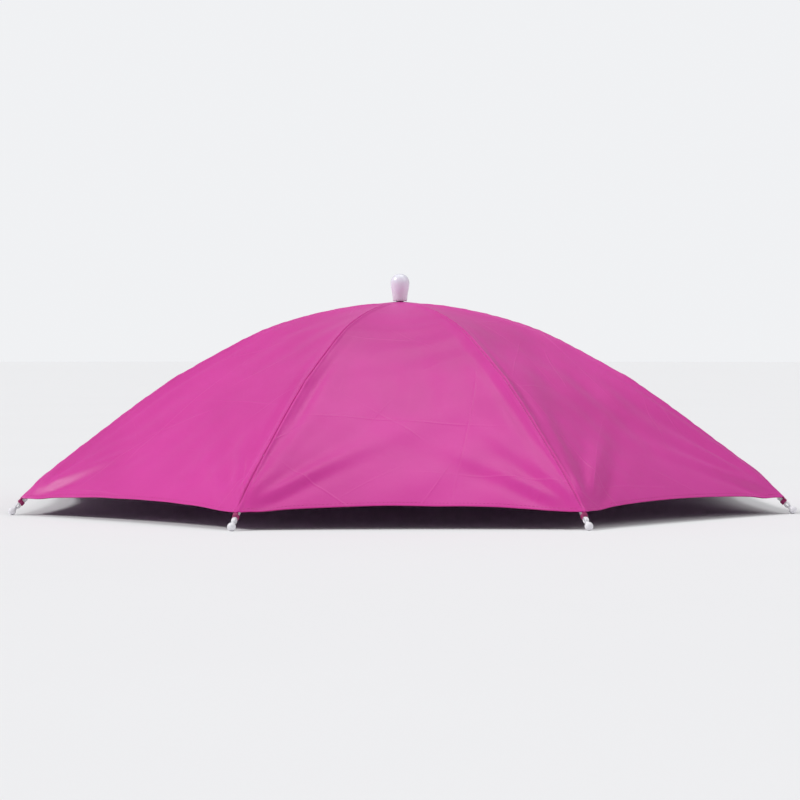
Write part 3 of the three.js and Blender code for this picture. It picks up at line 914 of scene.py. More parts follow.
# Channels: the steps of a run, the inner one's start and pin, the walls, and the clearance at the joint
RIB_STEPS = 26
RIB_START = 14.0
HUB_PIN_RADIUS = 15.6
INNER_WALL = 0.55
OUTER_WALL = 0.5
CHANNEL_ROUNDING = 0.22
JOINT_CLEARANCE = 0.4
# The points of a channel's outline, and the first and the last of its faces that line the inside
CHANNEL_POINTS = 24
LINING = (4, 12)
# The outer channel is crimped on to its wire from a share of its run on, to this width, depth and wall
CRIMP_FROM = 0.86
CRIMPED_SECTION = (2.5, 2.3, 0.45)
CRIMPED_DROP = 0.7
WIRE_RADIUS = 0.9
WIRE_OVERLAP = 8
WIRE_END = 14.7
# A rivet's head in shares of its radius and of its rise: from its crown down to its rim and in to the pin
RIVET_HEAD = ((0.0, 1.0), (0.6, 0.85), (1.0, 0.3), (1.0, 0.0), (0.55, 0.0))


def along_rib(section, start, end, angle):
    """A section carried along a rib's run, a little under the seam: across the rib and up its normal."""
    path = np.stack(below_seam(np.linspace(start, end, RIB_STEPS), RIB_TOP), -1)
    slope = np.gradient(path, axis=0)
    slope /= np.linalg.norm(slope, axis=1, keepdims=True)
    return sweep(section, stand(*path.T, angle), across_rib(angle), stand(-slope[:, 1], slope[:, 0], angle))


def channel_section(width, depth, wall):
    """A channel open below, its back at the top."""
    w, inner = width / 2, width / 2 - wall
    corners = [(-w, -depth), (-inner, -depth), (-inner, -wall), (inner, -wall),
               (inner, -depth), (w, -depth), (w, 0), (-w, 0)]
    return rounded(corners, CHANNEL_ROUNDING, steps=2)


def bare_inside(thing):
    """Gives the inner faces of a channel, which come first in its mesh, the thing's second material."""
    index = np.zeros(len(thing.data.polygons), np.int32)
    face = np.arange((RIB_STEPS - 1) * CHANNEL_POINTS)
    place = face % CHANNEL_POINTS
    index[face] = (place >= LINING[0]) & (place <= LINING[1])
    thing.data.polygons.foreach_set("material_index", index)


def rivet(origin, angle, half_width, radius, rise):
    """A pin across the rib with a low round head at each end: a profile and its mirror image, turned."""
    head = [(radius * share, half_width + rise * height) for share, height in RIVET_HEAD]
    profile = [(out, -along) for out, along in head] + head[::-1]
    return revolve(profile, 12, origin, across_rib(angle), stand(1.0, 0, angle))


def inner_rib(index):
    """The channel from the hub to the folding joint, with its pin at the hub."""
    angle = rib_angle(index)
    section = channel_section(RIB_WIDTH, RIB_DEPTH, INNER_WALL)
    run = along_rib(section, RIB_START, JOINT_START - JOINT_CLEARANCE, angle)
    pin_place = stand(*below_seam(HUB_PIN_RADIUS, RIB_MIDDLE), angle)
    return together([run, rivet(pin_place, angle, RIB_WIDTH / 2, radius=0.8, rise=0.25)])


def outer_rib(index):
    """The channel from the joint outward, crimped at its end on to the wire that carries the tip cap."""
    angle = rib_angle(index)
    crimp = smooth(np.linspace(0, 1, RIB_STEPS), CRIMP_FROM, 1.0)[:, None, None]
    full = channel_section(RIB_WIDTH, RIB_DEPTH, OUTER_WALL)
    crimped = channel_section(*CRIMPED_SECTION) - np.array([0, CRIMPED_DROP])
    section = full * (1 - crimp) + crimped * crimp
    run = along_rib(section, JOINT_END + JOINT_CLEARANCE, CHANNEL_END, angle)
    start = np.array(below_seam(CHANNEL_END - WIRE_OVERLAP, RIB_MIDDLE))
    end = np.array(cap_point(WIRE_END))
    route = start + (end - start) * np.linspace(0, 1, 8)[:, None]
    up = slope_axes(start, end, angle)[1]
    wire = sweep(circle(WIRE_RADIUS, 10), stand(*route.T, angle), across_rib(angle), up)
    return together([run, wire])


# The folding joint: its depth under the seam, then the outlines and places of its cheeks, bridge and core
JOINT_DEPTH = RIB_TOP + 2.8
JOINT_BEVEL = 0.15
CHEEK = (11.6, 3.8)
CHEEK_THICKNESS = 0.7
CHEEK_ASIDE = 1.95
BRIDGE = (6.4, 3.6)
BRIDGE_THICKNESS = 0.6
BRIDGE_RISE = 1.4
CORE = (2.6, 2.4)
CORE_REACH = 5.4
JOINT_PIN_AWAY = 3.6


def rib_joint(index):
    """The folding joint: two rounded cheeks, a bridge over them, a core between them and two rivets."""
    angle = rib_angle(index)
    across = across_rib(angle)
    centre = below_seam(JOINT_MIDDLE, JOINT_DEPTH)
    along, up = slope_axes(centre, below_seam(JOINT_MIDDLE + 1, JOINT_DEPTH), angle)
    origin = stand(*centre, angle)
    cheek = box_outline(*CHEEK, radius=2.2, steps=5)
    shapes = []
    for side in (-1, 1):
        place = origin + across * side * CHEEK_ASIDE
        shapes.append(plate(cheek, CHEEK_THICKNESS, JOINT_BEVEL, place, along, up))
    bridge = box_outline(*BRIDGE, radius=0.5)
    shapes.append(plate(bridge, BRIDGE_THICKNESS, JOINT_BEVEL, origin + up * BRIDGE_RISE, along, across))
    core_path = origin + np.linspace(-CORE_REACH, CORE_REACH, 4)[:, None] * along
    shapes.append(sweep(box_outline(*CORE, radius=0.5), core_path, across, up))
    for way in (-1, 1):
        place = origin + along * way * JOINT_PIN_AWAY
        shapes.append(rivet(place, angle, half_width=2.3, radius=0.9, rise=0.3))
    return together(shapes)


# Outlines turned about a tip cap's axis: radius, and distance in from the ball's middle
CAP_NECK = ((1.45, 3.2), (1.5, 4.4), (0.0, 4.4))
CAP_BODY = ((0.0, 7.5), (1.2, 7.5), (1.62, 7.9), (1.75, 8.8), (1.75, 13.2), (1.9, 13.7), (1.9, 14.3),
            (1.55, 14.5), (0.0, 14.5))
BINDING_SLEEVE = ((0.0, 8.0), (1.9, 8.0), (2.25, 8.1), (2.4, 8.4), (2.35, 8.9), (2.2, 9.3), (2.3, 9.8),
                  (2.35, 10.4), (2.2, 10.9), (1.9, 11.1), (0.0, 11.1))
# The ball's end at its neck as a polar angle, then the eye's place along the axis, its half axes and section
BALL_END = math.radians(152)
EYE_AWAY = 5.9
EYE_RING = (2.1, 1.4)
EYE_SECTION = (1.2, 2.9)
# The sleeve's ruffles: a share of its radius and the number of waves round it, for the broad and the fine
SLEEVE_RUFFLES = ((0.035, 7), (0.02, 11))
# The two turns of thread round the sleeve: their places along the axis, their ring and their own radius
BINDING_THREADS = (9.2, 9.5)
BINDING_THREAD_RING = 2.28
BINDING_THREAD_RADIUS = 0.2
# The tongue of cloth: its section, its root and its turn as radius and depth, and where it ends on the cap
TONGUE = (3.4, 0.55)
TONGUE_ROOT = (CORNER_RADIUS - 4, 1.2)
TONGUE_TURN = (CORNER_RADIUS - 0.3, 0.5)
TONGUE_BEND = 0.8
TONGUE_END = 8.6
TONGUE_RISE = 2.2


def cap_point(distance):
    """Radius and height of a point on a tip cap's axis, a distance in from its ball."""
    return TIP_RING - distance * math.cos(CAP_TILT), BALL_RADIUS + distance * math.sin(CAP_TILT)


def cap_frame(index):
    """A tip cap's ball, the direction in along its axis, and the one across its rib."""
    angle = rib_angle(index)
    inward = stand(-math.cos(CAP_TILT), math.sin(CAP_TILT), angle)
    return stand(TIP_RING, BALL_RADIUS, angle), inward, across_rib(angle)


def tip_cap(index):
    """A white cap: the ball, a thin neck, an eye for the thread, and the body that grips the wire."""
    origin, axis, side = cap_frame(index)
    polar = np.linspace(0, BALL_END, 16)
    ball = np.stack([BALL_RADIUS * np.sin(polar), -BALL_RADIUS * np.cos(polar)], -1)
    ball_and_neck = revolve(np.concatenate([ball, CAP_NECK]), 24, origin, axis, side)
    body = revolve(CAP_BODY, 20, origin, axis, side)
    eye_place = origin + axis * EYE_AWAY
    eye_section = box_outline(*EYE_SECTION, radius=0.5)
    eye = ring(*EYE_RING, eye_section, eye_place, axis, np.cross(side, axis), steps=24)
    return together([ball_and_neck, body, eye])


def corner_binding(index):
    """The canopy's corner: a tongue of doubled cloth that reaches down and is sewn round the cap as a sleeve.

    The sleeve is a turned profile, ruffled by a few per cent of its radius with two sine waves round it.
    """
    angle = rib_angle(index)
    origin, axis, side = cap_frame(index)
    points, faces = revolve(BINDING_SLEEVE, 28, origin, axis, side)
    centre = origin + ((points - origin) @ axis)[:, None] * axis
    turn = np.arctan2((points - centre) @ np.cross(axis, side), (points - centre) @ side)
    (broad, broad_waves), (fine, fine_waves) = SLEEVE_RUFFLES
    ruffle = 1 + broad * np.sin(broad_waves * turn + index) + fine * np.sin(fine_waves * turn)
    sleeve = (centre + (points - centre) * ruffle[:, None], faces)
    end = np.array(cap_point(TONGUE_END)) + TONGUE_RISE * np.array([math.sin(CAP_TILT), math.cos(CAP_TILT)])
    corners = np.array([below_seam(*TONGUE_ROOT), below_seam(*TONGUE_TURN), end])
    route, normal = bent_path(corners, TONGUE_BEND, steps=5)
    tongue = sweep(box_outline(*TONGUE, radius=0.2), stand(*route.T, angle), side, stand(*normal.T, angle))
    thread, radius = circle(BINDING_THREAD_RADIUS, 6), BINDING_THREAD_RING
    shapes = [sleeve, tongue]
    for away in BINDING_THREADS:
        shapes.append(ring(radius, radius, thread, origin + axis * away, side, np.cross(axis, side)))
    return together(shapes)


# The hub: how far its top lies under the cloth, its notches with their edges beside a rib, its rim and stem
HUB_STEPS = 160
HUB_UNDER_CLOTH = 0.85
NOTCH_DEPTH = 3.2
NOTCH_EDGES = (1.1, 1.5)
NOTCH_RADIUS = 13
RIM_WIRE_RING = 12.3
RIM_WIRE_RADIUS = 0.55
RIM_WIRE_RISE = 4.6
STEM_RADIUS = 3.0
STEM_TOP = 171.5
STEM_CHAMFER = 0.4


def hub():
    """The notched hub: a thick disc cut by eight slots for the rib ends, a rim wire and the stem above.

    The disc is a profile turned about the axis and drawn in beside each rib, by its share of the notch.
    """
    top = float(seam_height(CENTRE_HOLE_RADIUS)) - HUB_UNDER_CLOTH
    turn = np.arange(HUB_STEPS) * math.tau / HUB_STEPS
    from_rib = np.abs((turn - FIRST_RIB + HALF_STEP) % RIB_STEP - HALF_STEP) * NOTCH_RADIUS
    notch = NOTCH_DEPTH * (1 - smooth(from_rib, *NOTCH_EDGES))
    # The profile: radius, height, and share of the notch
    levels = ((10.5, HUB_FOOT, 0), (11.6, HUB_FOOT + 0.6, 0.4), (12.0, HUB_FOOT + 2, 1),
              (12.0, top - 2.4, 1), (11.4, top - 1.6, 0.6), (7.0, top - 0.6, 0), (3.6, top - 0.2, 0))
    rings = []
    for radius, height, share in levels:
        reach = radius - share * notch
        rings.append(np.stack([reach * np.cos(turn), reach * np.sin(turn), np.full_like(turn, height)], -1))
    disc = closed_rings(rings, [UP * HUB_FOOT, UP * (top - 0.2)])
    stem_profile = [(0, top - 1), (STEM_RADIUS, top - 1), (STEM_RADIUS, STEM_TOP - STEM_CHAMFER),
                    (STEM_RADIUS - STEM_CHAMFER, STEM_TOP), (0, STEM_TOP)]
    stem = revolve(stem_profile, 20, AXIS_FOOT, UP, ALONG_X)
    wire_place = UP * (HUB_FOOT + RIM_WIRE_RISE)
    wire = ring(RIM_WIRE_RING, RIM_WIRE_RING, circle(RIM_WIRE_RADIUS, 8), wire_place, ALONG_X,
                np.cross(UP, ALONG_X), steps=64)
    return together([disc, stem, wire])


# The ferrule's outline, as radius and height: from its bore's end down, round its foot and over its crown
FERRULE_OUTLINE = (
    (0.0, 171.9), (3.4, 171.9), (3.4, FERRULE_FOOT - 0.4), (3.7, FERRULE_FOOT - 0.65),
    (5.5, FERRULE_FOOT - 0.65), (5.75, FERRULE_FOOT - 0.35), (5.8, 166.6), (6.0, 168.4), (6.35, 171.0),
    (6.6, 172.6), (6.9, 174.2), (7.16, 175.7), (7.4, 177.2), (7.56, 178.4), (7.65, 179.6), (7.62, 180.6),
    (7.45, 181.6), (7.15, 182.6), (6.7, 183.6), (6.1, 184.6), (5.3, 185.5), (4.3, 186.3), (3.1, 186.9),
    (1.6, 187.28), (0.0, FERRULE_TOP))


def ferrule():
    """The milky egg on top: a plain taper up from its foot, a full round crown, and a bore over the stem."""
    return revolve(FERRULE_OUTLINE, 48, AXIS_FOOT, UP, ALONG_X)


# Headband

def band_point(parameter):
    """A point of the oval in plan: its half axes times the parameter's cosine and sine."""
    x = BAND_HALF_WIDTH * np.cos(parameter)
    return np.stack([x, BAND_CENTRE_Y + BAND_HALF_LENGTH * np.sin(parameter)], -1)


def band_parameter(angle):
    """The oval's parameter where a ray from the axis at a plan angle meets its outer face."""
    parameter = angle
    for _ in range(12):
        x, y = band_point(parameter)
        miss = angle - math.atan2(y, x)
        parameter += math.atan2(math.sin(miss), math.cos(miss))
    return parameter


def band_frame(parameter):
    """Points on the outer face at half height, with the outward normals there."""
    parameter = np.asarray(parameter, float)
    flat = band_point(parameter)
    out = np.stack([BAND_HALF_LENGTH * np.cos(parameter), BAND_HALF_WIDTH * np.sin(parameter)], -1)
    out /= np.linalg.norm(out, axis=-1, keepdims=True)
    level = np.full(flat.shape[:-1] + (1,), BAND_MIDDLE)
    return np.concatenate([flat, level], -1), np.concatenate([out, 0 * level], -1)


def band_section(face_steps):
    """The band's cut edge: two long faces and two narrow rounded ones, as outward and upward distances."""
    half, edge = BAND_HEIGHT / 2, BAND_THICKNESS / 2
    turn = np.linspace(-math.pi / 2, math.pi / 2, 7)
    top = np.stack([-edge - edge * np.sin(turn), half - edge + edge * np.cos(turn)], -1)
    bottom = top[::-1] * np.array([1, -1])
    level = np.linspace(half - edge, -half + edge, face_steps + 2)[1:-1]
    inner = np.stack([np.full_like(level, -BAND_THICKNESS), level], -1)
    outer = np.stack([np.zeros_like(level), -level], -1)
    return np.concatenate([top, inner, bottom, outer])


def band_run(start, end, steps, face_steps, shaping, lift):
    """A stretch of band: its section carried round the oval, each point moved by the shaping and the lift."""
    place, out = band_frame(np.linspace(start, end, steps))
    length = np.concatenate([[0], np.cumsum(np.linalg.norm(np.diff(place, axis=0), axis=1))])
    section = band_section(face_steps)
    sections = np.broadcast_to(section, (steps,) + section.shape).copy()
    sections += shaping(length[:, None], length[-1], sections[..., 0], sections[..., 1])
    sections[..., 0] += lift
    return sweep(sections, place, out, UP), length, sections


# The band's waves have their rates in radians a millimetre

# The elastic: its raised cords, then its gathers near the fold with the rates along and up of their two waves
CORDS = 11
CORD_HEIGHT = 0.26
CORD_SHARE_UNDER = 0.6
GATHER_HEIGHT = 0.32
GATHER_REACH = 9
GATHER_WAVES = ((2.1, 0.35), (0.5, 0.31))
GATHER_END = (2, 6)
FOLD_AWAY = 15.0
EDGE_FLAT = (0.2, 1.0)
EDGE_WAVE = 0.12
EDGE_WAVE_RATE = 0.8
EDGE_DRAWN_IN = 0.5
# The webbing's raised borders, its slow wave out and up, and the length over which that fades at each end
BORDER_INSET = 1.7
BORDER_WIDTH = 0.8
BORDER_HEIGHT = 0.10
LAZY_OUT = 0.25
LAZY_OUT_RATE = 0.045
LAZY_OUT_PHASE = 1.0
LAZY_UP = 0.15
LAZY_UP_RATE = 0.11
LAZY_ENDS = (4, 20)
# The gathered fold: its pleats, with their sway and the shares of them that go out and in, then its two
# stitched rows a distance from its ends, and its bulge between
FOLD_WIDTH = 10.0
PLEAT_HEIGHT = 0.45
PLEAT_RATE = 1.9
PLEAT_SWAY = 0.5
PLEAT_SWAY_RATE = 0.6
PLEAT_OUT_SHARE = 0.7
PLEAT_IN_SHARE = 0.25
STITCHED_ROW = 2.2
STITCHED_WIDTH = 0.5
STITCHED_DEPTH = 0.35
FOLD_BULGE = 0.5


def by_face(outward, inner):
    """1 on the band's outer face, and another value on its inner one."""
    return np.where(outward > -BAND_THICKNESS / 2, 1.0, inner)


def elastic_shape(length, total, outward, level):
    """Raised cords along both faces, a faint wave in the edges, and gathers that grow towards the fold.

    A cord is half a sine wave across the band. The gathers are sine waves that run at a slant and cross.
    """
    flat = smooth(BAND_HEIGHT / 2 - np.abs(level), *EDGE_FLAT)
    cord = np.abs(np.sin(level / BAND_HEIGHT * math.pi * CORDS)) - CORD_SHARE_UNDER
    cords = CORD_HEIGHT * cord * flat * by_face(outward, -1.0)
    from_end = total - length
    gather = bell(np.maximum(from_end - FOLD_AWAY, 0), GATHER_REACH) * smooth(from_end, *GATHER_END)
    (fast, fast_up), (slow, slow_up) = GATHER_WAVES
    crossing = np.sin(fast * length + fast_up * level) * np.cos(slow * length + slow_up * level)
    edge = EDGE_WAVE * np.sin(EDGE_WAVE_RATE * length) - EDGE_DRAWN_IN * gather
    return np.stack([cords + GATHER_HEIGHT * gather * crossing, edge * (1 - flat) * np.sign(level)], -1)


def webbing_shape(length, total, outward, level):
    """A flat weave with firm raised borders and a slow lazy sine wave."""
    border = bell(np.abs(level) - BAND_HEIGHT / 2 + BORDER_INSET, BORDER_WIDTH) * by_face(outward, -1.0)
    middle = smooth(length, *LAZY_ENDS) * smooth(total - length, *LAZY_ENDS)
    twist = np.sin(LAZY_OUT_RATE * length + LAZY_OUT_PHASE)
    lazy_out = LAZY_OUT * middle * twist * level / (BAND_HEIGHT / 2)
    lazy_up = LAZY_UP * middle * np.sin(LAZY_UP_RATE * length) + 0 * level
    return np.stack([BORDER_HEIGHT * border + lazy_out, lazy_up], -1)


def fold_shape(length, total, outward, level):
    """The gathered end: pleats up and down it in a sine wave, drawn in along two rows of stitching."""
    face = by_face(outward, 0.0)
    sway = PLEAT_SWAY * np.sin(PLEAT_SWAY_RATE * level)
    pleats = PLEAT_HEIGHT * np.sin(PLEAT_RATE * length + sway) * face
    rows = bell(length - STITCHED_ROW, STITCHED_WIDTH) + bell(length - (total - STITCHED_ROW), STITCHED_WIDTH)
    bulge = FOLD_BULGE * np.sin(math.pi * np.clip(length / total, 0, 1))
    raised = PLEAT_OUT_SHARE * pleats + (bulge - STITCHED_DEPTH * rows) * face
    return np.stack([raised, -PLEAT_IN_SHARE * np.sign(level) * np.abs(pleats)], -1)


def write_band_uv(thing, length, sections):
    """Band coordinates in metres: along the band, and round its section."""
    columns = sections.shape[1]
    around = np.concatenate([[0], np.cumsum(np.linalg.norm(np.diff(sections[0], axis=0), axis=1))])
    mesh = thing.data
    corner = np.empty(len(mesh.loops), np.int64)
    mesh.loops.foreach_get("vertex_index", corner)
    pairs = np.stack([length[corner // columns], around[corner % columns]], -1) * MM
    layer = mesh.uv_layers.new(name="band")
    layer.data.foreach_set("uv", pairs.astype(np.float32).ravel())


# Arms

# The clip round the band, and how far it closes in on the band's inner face and on its edges
CLIP_WIDTH = 9.0
CLIP_THICKNESS = 1.3
CLIP_BEND = 1.3
CLIP_BITE = 0.3
CLIP_TIGHT = 0.1
# The strip: its section, its start under the band's middle, its lean, and its bend above the band
ARM_WIDTH = 7.5
ARM_THICKNESS = 1.4
STRIP_START = 9
STRIP_OFF_CLIP = 0.5
STRIP_LEAN = 0.4
STRIP_BEND_ABOVE = 3
STRIP_BEND = 7.0
# The head's outline, along the rib and up from its pin, its cheeks and half the length of its pin
HEAD_OUTLINE = ((-2.5, 1.6), (-3.0, -4.2), (3.0, -4.2), (2.5, 1.6))
HEAD_ROUNDING = 1.9
HEAD_THICKNESS = 1.1
HEAD_BEVEL = 0.25
HEAD_ASIDE = RIB_WIDTH / 2 + GAP + 0.6
HEAD_HALF_PIN = HEAD_ASIDE + 0.5


def band_clip(hold, out):
    """The clip: a flat strip bent over the band's top edge, down its outer face and under its bottom edge."""
    inside, outside = -BAND_THICKNESS - GAP + CLIP_BITE, GAP + CLIP_THICKNESS / 2
    half = BAND_HEIGHT / 2 + GAP + CLIP_THICKNESS / 2 - CLIP_TIGHT
    corners = np.array([(inside, half), (outside, half), (outside, -half), (inside, -half)])
    path, normal = bent_path(corners, CLIP_BEND)
    place = hold + path[:, :1] * out + path[:, 1:] * UP
    face = normal[:, :1] * out + normal[:, 1:] * UP
    return sweep(box_outline(CLIP_WIDTH, CLIP_THICKNESS, radius=0.4), place, np.cross(UP, out), face)


def arm_strip(hold_radius, angle):
    """The flat strip, from the clip's face up past the band and then out to the rib."""
    foot = hold_radius + GAP + CLIP_THICKNESS + STRIP_OFF_CLIP
    bend = (foot + STRIP_LEAN, BAND_MIDDLE + BAND_HEIGHT / 2 + STRIP_BEND_ABOVE)
    top = below_seam(ARM_TOP_RADIUS, RIB_TOP + RIB_DEPTH + GAP + ARM_THICKNESS / 2)
    path, normal = bent_path(np.array([(foot, BAND_MIDDLE - STRIP_START), bend, top]), STRIP_BEND)
    section = box_outline(ARM_WIDTH, ARM_THICKNESS, radius=0.4)
    return sweep(section, stand(*path.T, angle), across_rib(angle), stand(*normal.T, angle))


def arm_head(angle):
    """The forked head: the rivet through the rib, and a cheek on each side of it."""
    origin = stand(*below_seam(ARM_TOP_RADIUS, RIB_MIDDLE), angle)
    along, up = slope_axes(below_seam(ARM_TOP_RADIUS, 0), below_seam(ARM_TOP_RADIUS + 1, 0), angle)
    outline = rounded(HEAD_OUTLINE, HEAD_ROUNDING, steps=5)
    shapes = [rivet(origin, angle, HEAD_HALF_PIN, radius=1.2, rise=0.45)]
    for way in (-1, 1):
        place = origin + across_rib(angle) * way * HEAD_ASIDE
        shapes.append(plate(outline, HEAD_THICKNESS, HEAD_BEVEL, place, along, up))
    return together(shapes)


def arm(index):
    """One arm: a clip round the band, a flat strip that leans out, and a forked, riveted head."""
    angle = rib_angle(index)
    hold, out = (v[0] for v in band_frame([band_parameter(angle)]))
    return together([band_clip(hold, out), arm_strip(np.hypot(*hold[:2]), angle), arm_head(angle)])


# Small sewn things

# A stitch: places of its rings from one end, -1, to the other, 1, with their shares of its thickness
STITCH_RINGS = np.array([(-1.0, 0.35), (-0.6, 1.0), (0.6, 1.0), (1.0, 0.35)])
STITCH_SIDES = 5
# Length, width and rise of a stitch, and how many make a row
HEM_STITCH = (2.0, 0.32, 0.14)
HEM_STITCHES = 84
HEM_ROW_REACH = 0.985
HEM_ROW_SHARE = 0.8
HEM_STITCH_PROUD = 0.02
BAND_STITCH = (1.5, 0.4, 0.2)
BAND_STITCHES = 12
BAND_STITCH_INSET = 1.5
# Rows up the band: their distances from the fold's end and from a clip's middle, and how proud each row lies
FOLD_ROWS = (7.0, 12.3)
FOLD_ROW_PROUD = GAP + 2.0
CLIP_ROW = 7.0
CLIP_ROW_PROUD = 0.12
# Loose threads: the two ribs with the side of the clip that they are on, and their number at each corner
THREAD_SEED = 41
THREAD_PLACES = ((0, 1), (2, -1))
THREAD_BESIDE = 5.6
THREADS = 3
THREAD_RADIUS = 0.14
THREAD_ROOT = 0.6
THREAD_CURL_OUT = 0.5
# The least and the most of what is drawn at random for a thread
THREAD_LEAN = (-1.6, 1.6)
THREAD_LENGTH = (1.6, 3.6)
THREAD_DEPTH = (0.2, 1.2)
THREAD_SPREAD = (-1.5, 1.5)
# The label beside its seam: its place out and beside the seam, its size, its thickness and its curl
LABEL_GORE = 4
LABEL_ROWS = 16
LABEL_COLUMNS = 20
LABEL_OUT = 250.2
LABEL_BESIDE = 4.0
LABEL_RUN = 10.9
LABEL_REACH = 9.6
LABEL_HALF = 0.12
LABEL_DEPTH = 0.7
LABEL_DROOP = 0.7
LABEL_RIPPLE = 0.25
LABEL_CURL = 0.3


def stitches(points, normal, length, width, rise):
    """A row of small stitches at the given points, each a low rounded bar along the row.

    A bar is rings of points round the row's line: point + along * place + side * cosine + normal * sine.
    """
    normal = np.broadcast_to(normal, points.shape)
    along = np.gradient(points, axis=0)
    along /= np.linalg.norm(along, axis=1, keepdims=True)
    side = np.cross(normal, along)
    place, size = STITCH_RINGS.T[..., None]
    turn = np.arange(STITCH_SIDES) * math.tau / STITCH_SIDES
    bars = (points[:, None, None] + along[:, None, None] * (place * length / 2)[..., None]
            + side[:, None, None] * (size * width / 2 * np.cos(turn))[..., None]
            + normal[:, None, None] * (size * rise * np.sin(turn))[..., None])
    rings = len(STITCH_RINGS)
    faces = grid_faces(rings, STITCH_SIDES, wrap_columns=True).tolist() + end_faces(rings, STITCH_SIDES)
    return together([(bar.reshape(-1, 3), faces) for bar in bars])


def hem_stitching():
    """Stitches along the turned hem, seen on the outside, a little in from the edge."""
    across = np.linspace(-HEM_ROW_REACH, HEM_ROW_REACH, HEM_STITCHES)
    radius = hem_length(across) - HEM_WIDTH * HEM_ROW_SHARE
    sideways = across * radius * math.sin(HALF_STEP)
    shapes = []
    for gore in range(RIBS):
        points = cloth_point(gore, sideways, radius, -CLOTH / 2 - HEM_STITCH_PROUD)
        up = stand(math.sin(CAP_TILT), math.cos(CAP_TILT), rib_angle(gore) + HALF_STEP)
        shapes.append(stitches(points, up, *HEM_STITCH))
    return together(shapes)


def band_stitching():
    """Rows of stitching up the folded end of the elastic and beside each clip."""
    fold_end = band_parameter(rib_angle(ARM_RIBS[1]))
    rows = [(fold_end - away / BAND_HALF_LENGTH, FOLD_ROW_PROUD) for away in FOLD_ROWS]
    for rib in ARM_RIBS[1:]:
        rows.append((band_parameter(rib_angle(rib)) + CLIP_ROW / BAND_HALF_LENGTH, CLIP_ROW_PROUD))
    reach = BAND_HEIGHT / 2 - BAND_STITCH_INSET
    level = np.linspace(-reach, reach, BAND_STITCHES)
    shapes = []
    for parameter, proud in rows:
        place, out = band_frame(np.full(BAND_STITCHES, parameter))
        shapes.append(stitches(place + out * proud + level[:, None] * UP, out, *BAND_STITCH))
    return together(shapes)


def loose_threads():
    """Short curved ends of thread at the corners of the elastic, above and below its clips.

    Each is a tube along a parabola: it rises evenly, leans along the band and curls along it and outward.
    """
    rng = np.random.default_rng(THREAD_SEED)
    t = np.linspace(0, 1, 7)[:, None]
    shapes = []
    for rib, way in THREAD_PLACES:
        middle = band_parameter(rib_angle(rib)) + way * THREAD_BESIDE / BAND_HALF_WIDTH
        place, out = (v[0] for v in band_frame([middle]))
        along = np.cross(UP, out)
        for level in (1, -1):
            for _ in range(THREADS):
                lean, curl = rng.uniform(*THREAD_LEAN, 2)
                length = rng.uniform(*THREAD_LENGTH)
                start = place - out * rng.uniform(*THREAD_DEPTH) + along * rng.uniform(*THREAD_SPREAD)
                rise = level * (BAND_HEIGHT / 2 - THREAD_ROOT + (length + THREAD_ROOT) * t)
                curl_out = out * curl * t * t * THREAD_CURL_OUT
                path = start + rise * UP + along * (lean * t + curl * t * t) + curl_out
                shapes.append(sweep(circle(THREAD_RADIUS, 5), path, along, out))
    return together(shapes)


def care_label():
    """A small bare tape beside one rib, sewn at one end and curling a little at the free one.

    It is a patch of the cloth's own surface, sunk under it by a slope and two sine waves, with two skins.
    """
    out = np.linspace(0, 1, LABEL_ROWS)[:, None]
    away = np.linspace(0, 1, LABEL_COLUMNS)[None, :]
    radius = LABEL_OUT + LABEL_RUN * out + 0 * away
    beside = LABEL_BESIDE + LABEL_REACH * away
    ripple = LABEL_RIPPLE * np.sin(away * 5 + out * 2)
    depth = LABEL_DEPTH + LABEL_DROOP * away + ripple + LABEL_CURL * np.sin(out * 3.0) * away
    face = cloth_point(LABEL_GORE, radius * math.sin(HALF_STEP) - beside, radius, depth)
    normal = np.cross(np.gradient(face, axis=0), np.gradient(face, axis=1))
    normal /= np.linalg.norm(normal, axis=-1, keepdims=True)
    skins = [(face + normal * LABEL_HALF).reshape(-1, 3), (face - normal * LABEL_HALF).reshape(-1, 3)]
    upper = grid_faces(LABEL_ROWS, LABEL_COLUMNS)
    count = LABEL_ROWS * LABEL_COLUMNS
    here = border_loop(LABEL_ROWS, LABEL_COLUMNS)
    there = np.roll(here, -1)
    edge = np.stack([there, here, here + count, there + count], -1)
    faces = np.concatenate([upper, upper[:, ::-1] + count, edge]).tolist()
    return facing_out(np.concatenate(skins), faces)


def border_loop(rows, columns):
    """Indices round the edge of a grid stored row by row."""
    top = np.arange(columns - 1)
    right = np.arange(rows - 1) * columns + columns - 1
    bottom = (rows - 1) * columns + np.arange(columns - 1, 0, -1)
    left = np.arange(rows - 1, 0, -1) * columns
    return np.concatenate([top, right, bottom, left])


# Studio

# The camera stands on the photograph's side of the hat, as low as the floor allows
CAMERA_AZIMUTH = math.radians(43.6)
CAMERA_ELEVATION = math.radians(1.0)
CAMERA_DISTANCE = 1.95
LENS_MM = 108.0
SENSOR_MM = 36.0
AIM = (0.0, 0.0, 0.085)
# The surround's strength as light, and as the camera sees it
SURROUND = 0.38
SURROUND_SEEN = 0.90
# Each sun: its azimuth and elevation in degrees, its strength and its spread in degrees
SUNS = (("key", -36.0, 42.0, 1.8, 16.0), ("top", 205.0, 74.0, 0.6, 30.0), ("side", 118.0, 38.0, 0.6, 40.0))
FLOOR_REACH = 60.0


